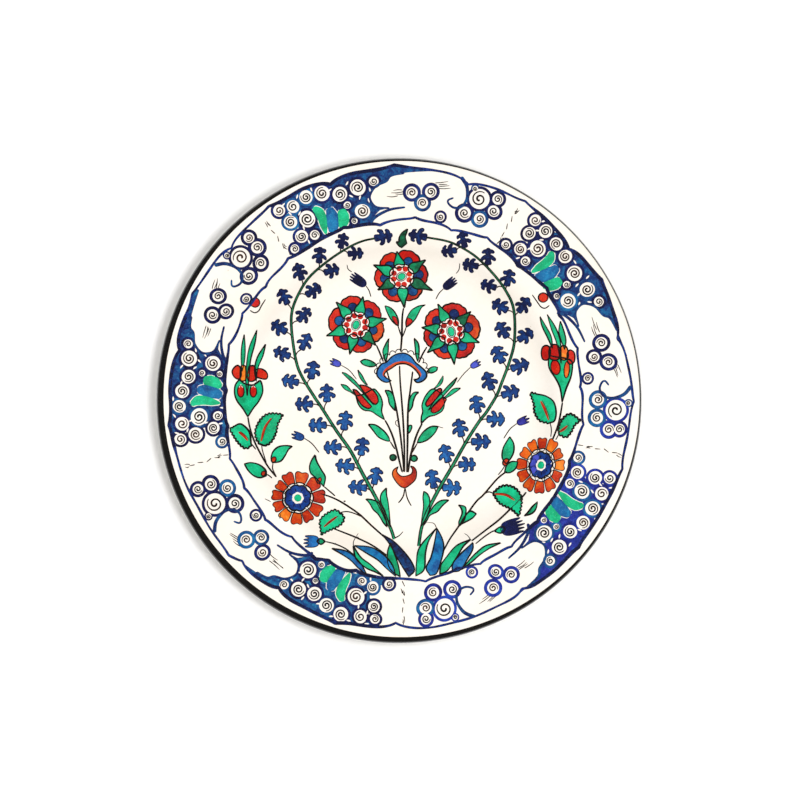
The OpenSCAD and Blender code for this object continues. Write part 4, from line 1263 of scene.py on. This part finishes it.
for line, wide in (
    ([(-95.3, -11), (-94.1, -17.5), (-91.3, -26.2), (-87.2, -34.4), (-82.8, -42), (-77.7, -48.4)],
     1.2),
    ([(99.6, -2), (98.3, -9.8), (96.6, -17), (93.5, -25.2)], 1.2),
    ([(-50.5, -58.8), (-44.9, -60.5), (-39.3, -63), (-33, -66.8), (-26, -71.8), (-18.5, -78.8),
      (-12.8, -83.8), (-9.6, -86.6)], 1.2),
    ([(-48.4, -54.2), (-44.6, -57.4), (-41.2, -60.3)], 0.9),
    ([(-38.6, -70.6), (-34.2, -69.9), (-29.8, -70.9), (-24.8, -73.1)], 0.8),
    ([(-42.4, -80.3), (-36.7, -82.5), (-27.3, -86.3), (-17.8, -91), (-9, -97)], 1.1),
    ([(-47.5, -88.2), (-41.2, -89.8), (-34.9, -92.6), (-29.6, -96.4)], 0.9),
    ([(-60.7, -24.2), (-55.7, -27.7), (-51.2, -33.3)], 0.7),
    ([(-79.8, -39.7), (-80, -43.4), (-77.6, -48.4)], 0.8),
    ([(-84, -46.4), (-82, -47.6), (-80.3, -49.1)], 0.8),
    ([(-86.9, -27.9), (-86.3, -32), (-83.8, -39.8)], 0.7),
    ([(-93.3, -27.4), (-91.8, -29.4), (-90.3, -31.3)], 0.8),
    ([(24.9, -96), (29.7, -87.2), (35, -79.6), (45.7, -64.5), (50.8, -59.5), (59, -50),
      (64.3, -45.6), (70.6, -41.4)], 1.2),
    ([(43.2, -88), (53.3, -80.3), (60.6, -74.6), (67.8, -67.7), (74.1, -61.4), (77.3, -57.6)],
     1.2),
    ([(45.7, -89.7), (51.6, -85.0), (55.8, -82.2), (58.2, -81.4)], 0.9),
    ([(57.3, -58.8), (54.4, -57.7), (51.7, -58.7), (48.5, -61.7)], 0.9),
    ([(64.3, -41.2), (62.2, -44.4), (59.9, -47.2)], 0.7),
    ([(91.9, -14), (92.8, -19), (92.4, -23.6)], 0.7),
    ([(97.6, -21), (96.6, -23.2), (95.3, -25.4)], 0.7),
    ([(71.8, -15.1), (67.4, -18.6), (63.4, -24.5)], 0.7),
    ([(-37.8, 21.1), (-32.7, 18), (-28, 12.3)], 0.6),
    ([(43, 19.9), (38.5, 15.5), (34.4, 10.2)], 0.6),
    ([(-22.3, 70.6), (-20.3, 67.4), (-19, 63.4)], 0.7),
    ([(26.2, 68.7), (23.2, 65.6), (21.2, 61.9)], 0.7),
    ([(-33.9, 83.4), (-33.2, 80.6), (-30.8, 78.8)], 0.6),
    ([(36.1, 84.3), (35.6, 80.4), (33.8, 77.8)], 0.6),
    ([(-84.2, 61.8), (-86.9, 57.5), (-88.5, 54.6), (-91, 53.4), (-93.9, 54.9)], 0.8),
    ([(80.8, 64.6), (83.8, 60.3), (86.3, 57), (88.9, 56.2), (91.5, 58)], 0.8),
    ([(-84.7, -61.7), (-80.9, -63.6)], 0.5),
    ([(-74.7, -70.6), (-75.4, -74.3)], 0.5),
):
    side_stems.line(smooth(line), [wide * 0.8, wide, wide, wide * 0.9], tone=0.5)
for spot in ((-39.3, -63), (-35.4, -63.6), (-27.3, -86), (-41.2, -89.8), (50.8, -59.5)):
    side_stems.line([np.add(spot, (-0.6, 0)), np.add(spot, (0.6, 0.2))], [1.5, 1.5],
                    ends=(0.6, 0.6))


def rosette(centre, places, inner_r, outer_r, blue, squash, tilt, oranges, violets=()):
    """A flower of notched petals round a blue ring with a green eye."""
    centre = np.asarray(centre, float)

    def oval(points):
        return turn(np.asarray(points, float) * (1, squash), tilt, centre)

    turns = sorted(a % 360 for a in places)
    for k, a in enumerate(turns):
        far = outer_r * rng.uniform(0.96, 1.04)
        before, after = ((a - turns[k - 1]) % 360) / 2, ((turns[(k + 1) % len(turns)] - a) % 360) / 2
        petal = [(inner_r, -0.72 * before), (far - 2.4, -0.86 * before), (far - 0.5, -0.72 * before),
                 (far, -0.42 * before), (far - 0.8, 0), (far, 0.42 * after),
                 (far - 0.5, 0.72 * after), (far - 2.4, 0.86 * after), (inner_r, 0.72 * after)]
        outline = smooth(oval([direction(a + off) * r for r, off in petal]), 0.6, True)
        paint = ros_orange if k in oranges else ros_petals
        shape(paint, outline, rng.uniform(0.2, 0.75), 0.35, flower_lines)
    shape(ros_white, oval(lobed((0, 0), inner_r + 1.0, 9, 0.07)), 0.5, 0.55, flower_lines)
    shape(ros_rings, oval(lobed((0, 0), blue[0], 8, 0.12, 0.3)), 0.45, 0.6, flower_lines)
    for a in violets:
        spot = oval(ring(direction(a) * blue[0] * 0.68, 2.6, 16))
        ros_violet.fill(spot, tone=0.95)
    for k in range(8):
        a = math.radians(17 + 45 * k)
        tick = [(r * math.cos(a), r * math.sin(a)) for r in (blue[1] * 1.15, blue[0] * 0.78)]
        flower_lines.line(evenly(oval(tick), 0.6), [0.7, 0.35], tone=0.1)
    ros_gap.fill(oval(lobed((0, 0), blue[1], 7, 0.15, 0.8)))
    shape(ros_eyes, oval(ring((0, 0), blue[1] * 0.6, 16)), 0.7, 0.4, flower_lines)


rosette((-64.4, -61.4), (117, 81, 40, 3, -34, -62, -91, -128, -157, 171, 145), 8.6, 16.6,
        (8.2, 3.7), 1.0, 0.0, (7,))
rosette((86.3, -40.9), (98, 68, 39, 10, -20, -50, -80, -110, -140, -170, 158, 128), 9.4,
        17.4, (8.4, 3.7), 0.85, math.radians(78), (1, 2, 9, 11), (50, 90, 130))


def ruffle(outlines):
    """The lobes that stand up from a side tulip's cup."""
    for outline, orange in outlines:
        shape(petals_orange if orange else petals, smooth(outline, 0.6, True),
              rng.uniform(0.3, 0.7), 0.6, flower_lines)


# Tulips at the sides, each with its cup, drops, ruffled lobes and long blades.
leaf(cups, (-95.3, -11), [(-98.3, -6), (-101.9, -1.1), (-103.4, 3.5), (-103, 8.5)], (-100.6, 12),
     [(-97, 9.5), (-92.5, 8.6), (-90, 10), (-87.5, 11.2), (-86.2, 5), (-88.4, -0.9),
      (-92.2, -6)], 0.55, 0.7)
for x in (-99.6, -92.0):
    shape(petals, ring((x, 4.8), 3.6, 20, 0.56, math.pi / 2), 0.6, 0.5, flower_lines)
    ros_gap.line(smooth([(x - 1.4, 7.0), (x, 8.6), (x + 1.4, 7.0)]), [0.6, 0.9, 0.6])
ruffle((
    ([(-104.9, 16.7), (-103.9, 19.2), (-101.6, 20.9), (-99.9, 19.3), (-99.4, 14.6), (-101, 12.3),
      (-103.6, 13.6)], False),
    ([(-99.8, 12), (-99.6, 19.6), (-98.2, 21), (-96.6, 19.6), (-96.6, 12)], True),
    ([(-95.2, 11.6), (-94.9, 19.2), (-93.2, 20.6), (-91, 19.8), (-90.6, 12.2)], False),
    ([(-90.6, 17.6), (-88.4, 18.9), (-86.1, 18.4), (-84, 16.8), (-83.1, 14.4), (-84.2, 12.4),
      (-87.9, 12.9), (-90.2, 14)], False),
))
leaf(blades, (-98.8, 17), [(-99.4, 25), (-98.9, 33)], (-97.4, 40.2), [(-96.9, 32), (-97.2, 24)],
     width=0.5)
leaf(blades, (-95.7, 2), [(-96.6, 12), (-95.8, 24), (-93.9, 33.4)], (-89.6, 42.8),
     [(-90.9, 34.4), (-93.6, 24), (-94.7, 12)], width=0.5)
leaf(blades, (-90.2, 11), [(-91.2, 18), (-89.4, 26)], (-84.3, 34.2), [(-86, 27), (-89, 19.6)],
     width=0.5)

leaf(cups, (99.4, -2), [(98.2, 6.6), (95.6, 12.4), (92, 17.9), (91.0, 22)], (91.4, 27),
     [(96, 26), (102, 25), (105.6, 22.6), (104.9, 14.2), (102.0, 6.8)], 0.55, 0.7)
shape(petals, ring((95.3, 19.6), 4.6, 22, 0.62, math.radians(100)), 0.6, 0.5, flower_lines)
shape(petals_orange, ring((102.2, 18.2), 5.2, 20, 0.32, math.radians(86)), 0.4, 0.5, flower_lines)
ruffle((
    ([(87.6, 24.6), (86.6, 28), (87.2, 31.8), (89.4, 33.2), (91.6, 32), (92.2, 28), (90.6, 24.4)],
     False),
    ([(91.8, 25.4), (91.4, 30.4), (93.4, 33.6), (96.2, 33.4), (98, 31), (98.4, 26.4), (95.4, 24)],
     False),
    ([(98, 25.6), (97.8, 30.4), (99.6, 33), (102, 32.2), (103, 29), (102.9, 25.4), (100.6, 24)],
     True),
    ([(102.8, 22.8), (102.6, 28.4), (104.4, 30.4), (106.9, 28.4), (107, 23.6), (105, 21.6)],
     False),
))
leaf(blades, (93.4, 31.4), [(90.4, 38), (87, 45)], (85.6, 51.2), [(89, 45.6), (92.6, 38.6)],
     width=0.5)
leaf(blades, (98.8, 22), [(96, 34.6), (92.6, 43.6)], (90, 52.6), [(95.2, 44.4), (98.3, 35)],
     width=0.5)
leaf(blades, (100.9, 30.6), [(98.7, 36.4), (97.3, 42)], (98.2, 48.4), [(100.3, 42.4),
     (101.7, 36.4)], width=0.5)

for base, one_side, tip, other_side, rib, last in (
    ((-93.3, -27.6), [(-94.4, -29.6), (-97.6, -30), (-102, -25.5)], (-106.2, -18.7),
     [(-100.6, -15.4), (-96.8, -17.3), (-94.1, -21.1)], [(-101, -20.3), (-98, -22.6),
      (-95.2, -25.8)], 0.55),
    ((-87.5, -28), [(-89.6, -25.2), (-90.6, -20.7), (-89.1, -15.7), (-85.9, -11.3),
     (-81.5, -9.2)], (-74, -9.7), [(-77.2, -15.7), (-78.2, -20.7), (-80.7, -25.8),
     (-84.6, -28.8)], [(-80.9, -11.9), (-84.2, -16.6), (-86, -21.2), (-87.2, -26.4)], 0.95),
    ((-38.6, -70.6), [(-41.2, -69.1), (-44.9, -70.4), (-48.7, -73.1), (-50.6, -76),
     (-50.2, -79)], (-49.6, -83.7), [(-45.6, -81.5), (-41, -79.6), (-37.2, -77),
     (-36, -73.5)], [(-40, -72.9), (-44.3, -76), (-48.2, -79.3)], 1.0),
    ((91.6, -14.8), [(85.7, -13.1), (82.7, -7.9), (82.4, -3.5)], (80.0, 3.7),
     [(83.8, 3.1), (89.5, 1.8), (94.1, -1.6), (95.7, -7.9), (94.7, -13.4)],
     [(86.3, -1.2), (88.9, -6.6), (91.2, -13.2)], 0.5),
    ((97.4, -21.6), [(101.7, -23.4), (104.8, -20.1), (106.8, -16.1)], (110.3, -13.3),
     [(104.8, -9.5), (100.7, -11.5), (97.6, -16.7)], [(97.7, -20.4), (100.2, -18.7),
      (102.7, -16.5)], 1.0),
    ((57, -58.7), [(61.1, -54.9), (65.5, -53.9), (70.8, -55.9), (74, -61.1), (73.7, -66.8)],
     (72.5, -72.2), [(69.6, -69.2), (66.2, -67), (61.1, -64.5)], [(57.6, -58.9),
      (64.3, -59.4), (70, -62.8)], 1.0),
):
    outline = joined([base, *one_side, tip], [tip, *other_side, base])
    shape(serrated, frilled(outline, last), rng.uniform(0.5, 0.75), 0.75)
    ribs.line(smooth(rib), [1.0, 1.6, 1.5, 0.8], tone=0.3)
    fine.line(smooth(rib) + (0.9, 0.5), [0.4, 0.35, 0.3])

for base, one_side, tip, other_side in (
    ((-80.2, -39.6), [(-81, -36.5), (-79.7, -32.5), (-76.5, -29.7), (-72, -28.9)],
     (-68, -29.4), [(-70.4, -31.5), (-72.3, -35), (-75.2, -38.6)]),
    ((-84, -47.6), [(-87.8, -48.7), (-91.6, -47.4), (-94.9, -44.3)], (-97.3, -40.2),
     [(-93.5, -39.4), (-88.3, -40.7), (-84.3, -44.1)]),
    ((-48.4, -54.4), [(-50.6, -51.9), (-53.8, -48.5), (-56.5, -46), (-57.2, -42.2),
     (-56, -38.2)], (-53.7, -34.7), [(-52.9, -38.4), (-49.8, -44.1), (-47.4, -48.5)]),
    ((64.8, -40.2), [(62.5, -36.5), (63.1, -30.4)], (67.2, -23.3), [(69.6, -27.7),
     (69.6, -32.9), (67.4, -37.4)]),
    ((63.9, -45.7), [(65.2, -41.2), (68.4, -38.8)], (72.2, -39.1), [(70.8, -43), (67.6, -45.6)]),
    ((35.6, -79), [(35.6, -76), (37.6, -71), (36.9, -67.7)], (35.2, -65.8), [(39.6, -67),
     (39.8, -71.4), (38.8, -75)]),
    ((35.8, -79), [(37.6, -77.4), (41.5, -75.4), (44.3, -73.6)], (46.4, -71.2), [(42.7, -69.6),
     (39.6, -72.4), (37.2, -76)]),
    ((76, -72.3), [(80.6, -70.8), (83.2, -67.8)], (84.1, -63.5), [(80.9, -66.6), (78.4, -69.8)]),
    ((57.5, -81.7), [(60, -82.9), (62.6, -82.6)], (64.3, -80.9), [(62.6, -78.8), (60, -79.7)]),
    ((-47.5, -88.2), [(-49.2, -89.8), (-51, -89.6)], (-52.4, -88.2), [(-51, -86.5),
     (-49.2, -86.7)]),
):
    leaf(bunch_leaves, base, one_side, tip, other_side, rng.uniform(0.35, 0.7), 0.65)
for spot, size, squash in (
    ((-79.4, -37.6), 1.8, 0.8), ((-85.6, -46.1), 1.6, 0.8), ((64.7, -39.2), 2.4, 0.75),
    ((-51.2, -50.6), 2.0, 0.6),
):
    shape(ribs, ring(spot, size, 16, squash, math.radians(60)), 0.4, 0.5, flower_lines)


def bud(paint, base, tip, width, prongs, tone):
    """A closed flower: a round body that ends in small teeth."""
    base, tip = np.asarray(base, float), np.asarray(tip, float)
    length = np.hypot(*(tip - base))
    heading = math.atan2(*(tip - base)[::-1])
    half = width / 2
    teeth = []
    for k in range(prongs):
        y = half * 0.8 * (1 - 2 * k / (prongs - 1))
        reach = length * (1.06 - 0.16 * abs(y) / half)
        teeth += [(reach, y * 1.15), (length * 0.66, y - half * 0.8 / (prongs - 1))]
    lower = [(0, 0), (length * 0.12, half * 0.75), (length * 0.45, half)]
    upper = [(length * 0.45, -half), (length * 0.12, -half * 0.75)]
    outline = turn(np.array(lower + teeth[:-1] + upper), heading, base)
    outline = smooth(outline, 0.4, True)
    paint.fill(outline, tone=tone, step=0.5)
    bell_lines.line(evenly(outline, 0.6, True), 0.55, True, tone=0.2)


bud(buds_blue, (-51, -88.2), (-60.6, -88.1), 7.2, 4, 0.8)
bud(buds_blue, (-60.7, -24.4), (-68.2, -21.8), 4.6, 3, 0.6)
bud(buds_light, (71.8, -15.1), (79.1, -12.0), 4.4, 3, 0.4)
bud(buds_light, (-37.8, 21.1), (-44.4, 23.8), 4.0, 3, 0.9)
bud(buds_light, (43, 19.9), (48.9, 23.2), 3.8, 3, 0.9)
bud(buds, (-22.3, 70.6), (-31.6, 77.0), 5.6, 4, 0.0)
bud(buds, (26.2, 68.7), (33.8, 74.6), 5.2, 4, 0.0)
bud(buds, (61.5, -81.3), (75.6, -77.2), 9.4, 5, 0.3)
for spot in ((-90.7, 59.7), (87.6, 62.8)):
    shape(berries, ring(spot, 3.0, 22, 0.96), 0.6, 0.5, flower_lines)

# The tuft, from the inner line up: blades of grass in blue and green.
for paint, base, one_side, tip, other_side, tone in (
    (tuft_blue, (-21.4, -109), [(-27, -104.4), (-32.6, -99)], (-43.3, -92.4),
     [(-33.2, -94.6), (-25.6, -101.4)], 0.6),
    (tuft_green, (-11.3, -109.6), [(-16.4, -107), (-22.2, -104.4), (-28.2, -98.9)],
     (-30.1, -90.8), [(-25.2, -98), (-19.4, -102.4)], 0.5),
    (tuft_blue, (-3.6, -109.8), [(-9.4, -104.8), (-14.6, -99.8), (-21.2, -95.8)],
     (-29.4, -90.8), [(-18.8, -92), (-10.8, -96.8), (-5.6, -103)], 0.8),
    (tuft_green, (-0.8, -110), [(-5, -107.4), (-8.2, -103), (-8.8, -95.4)], (-6.9, -88.9),
     [(-5.2, -94.1), (-2.2, -102.3)], 0.4),
    (tuft_blue, (4.5, -110), [(1.0, -104.6), (-3.6, -97), (-6.8, -91)], (-11.8, -84.2),
     [(-4.4, -88.7), (3.9, -97.5), (8.0, -105.5)], 0.1),
    (tuft_green, (8.8, -109.6), [(9.2, -101), (10.2, -94.1), (13.7, -88.5)], (21.6, -80.1),
     [(16.9, -87.8), (14.8, -95.4), (13.9, -105.5)], 0.6),
    (tuft_blue, (17.6, -109.2), [(15.2, -104.5), (18.2, -97.9), (20.4, -89.1)], (21.9, -80.1),
     [(25.2, -86.6), (26.1, -92.9), (24.0, -101.6), (21.5, -108)], 0.7),
    (tuft_green, (23.6, -108.4), [(24.3, -103), (27.2, -98.6), (33.9, -90.9)], (42.8, -87),
     [(38.2, -91.3), (33.9, -98.2), (28.4, -106.1)], 0.5),
    (tuft_blue, (31.4, -107), [(31.7, -101.8), (36.3, -96.1)], (44.2, -88.8),
     [(44.0, -93.1), (40.8, -98.9), (36.4, -105.8)], 0.7),
    (tuft_green, (37.2, -105.6), [(41.9, -99.6), (46.8, -94.7), (52.5, -90.6)], (61.5, -88.9),
     [(54.2, -92.5), (48.2, -96.6), (43.4, -100.8)], 0.6),
):
    leaf(paint, base, one_side, tip, other_side, tone, 0.6)
for line in (
    [(21.7, -80.3), (20.6, -77.8), (19, -76.9), (15.6, -76.8)],
    [(42.8, -87.2), (41, -84.7), (38.7, -83.2)],
    [(-30, -91), (-29.6, -87.8), (-26.8, -83.2)],
):
    fine.line(smooth(line), [0.6, 0.45, 0.3])

for paint in PAINTS:
    paint.build()


# ---- Floor, light and camera --------------------------------------------------------------
def make_floor():
    size = 3.0
    mesh = bpy.data.meshes.new("floor")
    mesh.from_pydata(
        [(-size, -size, 0), (size, -size, 0), (size, size, 0), (-size, size, 0)], [], [(0, 1, 2, 3)]
    )
    floor = bpy.data.objects.new("floor", mesh)
    bpy.context.collection.objects.link(floor)
    material, tree, shader = new_material("pale_floor")
    coords = tree.nodes.new("ShaderNodeTexCoord").outputs["Object"]
    cloud = noise(tree, coords, 3, 2.0, 0.5)
    shade = ramp(tree, cloud, [(0.3, (0.98, 0.98, 0.98)), (0.7, (1.0, 1.0, 1.0))])
    tree.links.new(shade, shader.inputs["Base Color"])
    shader.inputs["Roughness"].default_value = 0.9
    shader.inputs["Specular IOR Level"].default_value = 0.1
    mesh.materials.append(material)


def area_light(name, place_at, size, power):
    """A round light aimed at the plate, not mirrored in its glaze."""
    light = bpy.data.lights.new(name, "AREA")
    light.shape = "DISK"
    light.size = size
    light.energy = power
    lamp = bpy.data.objects.new(name, light)
    lamp.location = place_at
    toward = -np.array(place_at) + np.array([0, 0, 0.02])
    lamp.rotation_euler = Vector(toward).to_track_quat("-Z", "Y").to_euler()
    lamp.visible_glossy = False
    bpy.context.collection.objects.link(lamp)


def make_studio():
    world = bpy.data.worlds.new("studio")
    world.use_nodes = True
    sky = world.node_tree.nodes["Background"]
    sky.inputs["Color"].default_value = (1.0, 0.99, 0.97, 1)
    sky.inputs["Strength"].default_value = 0.16
    bpy.context.scene.world = world
    area_light("key", (0.3, -0.02, 2.0), 0.34, 16)
    area_light("sky_panel", (0.1, 0.05, 3.6), 4.6, 118)


def make_camera():
    """Straight above the plate, as the pattern is seen face on."""
    distance = 3.0
    view_w = 0.4944
    sensor_w = 36
    camera = bpy.data.cameras.new("camera")
    camera.sensor_width = sensor_w
    camera.lens = sensor_w * distance / view_w
    camera.clip_end = 20
    seat = bpy.data.objects.new("camera", camera)
    rim_z = CAD_BOX[1][2]
    seat.location = (0.0006, 0.0004, rim_z + distance)
    bpy.context.collection.objects.link(seat)
    bpy.context.scene.camera = seat


make_floor()
make_studio()
make_camera()
bpy.context.scene.view_settings.view_transform = "Standard"
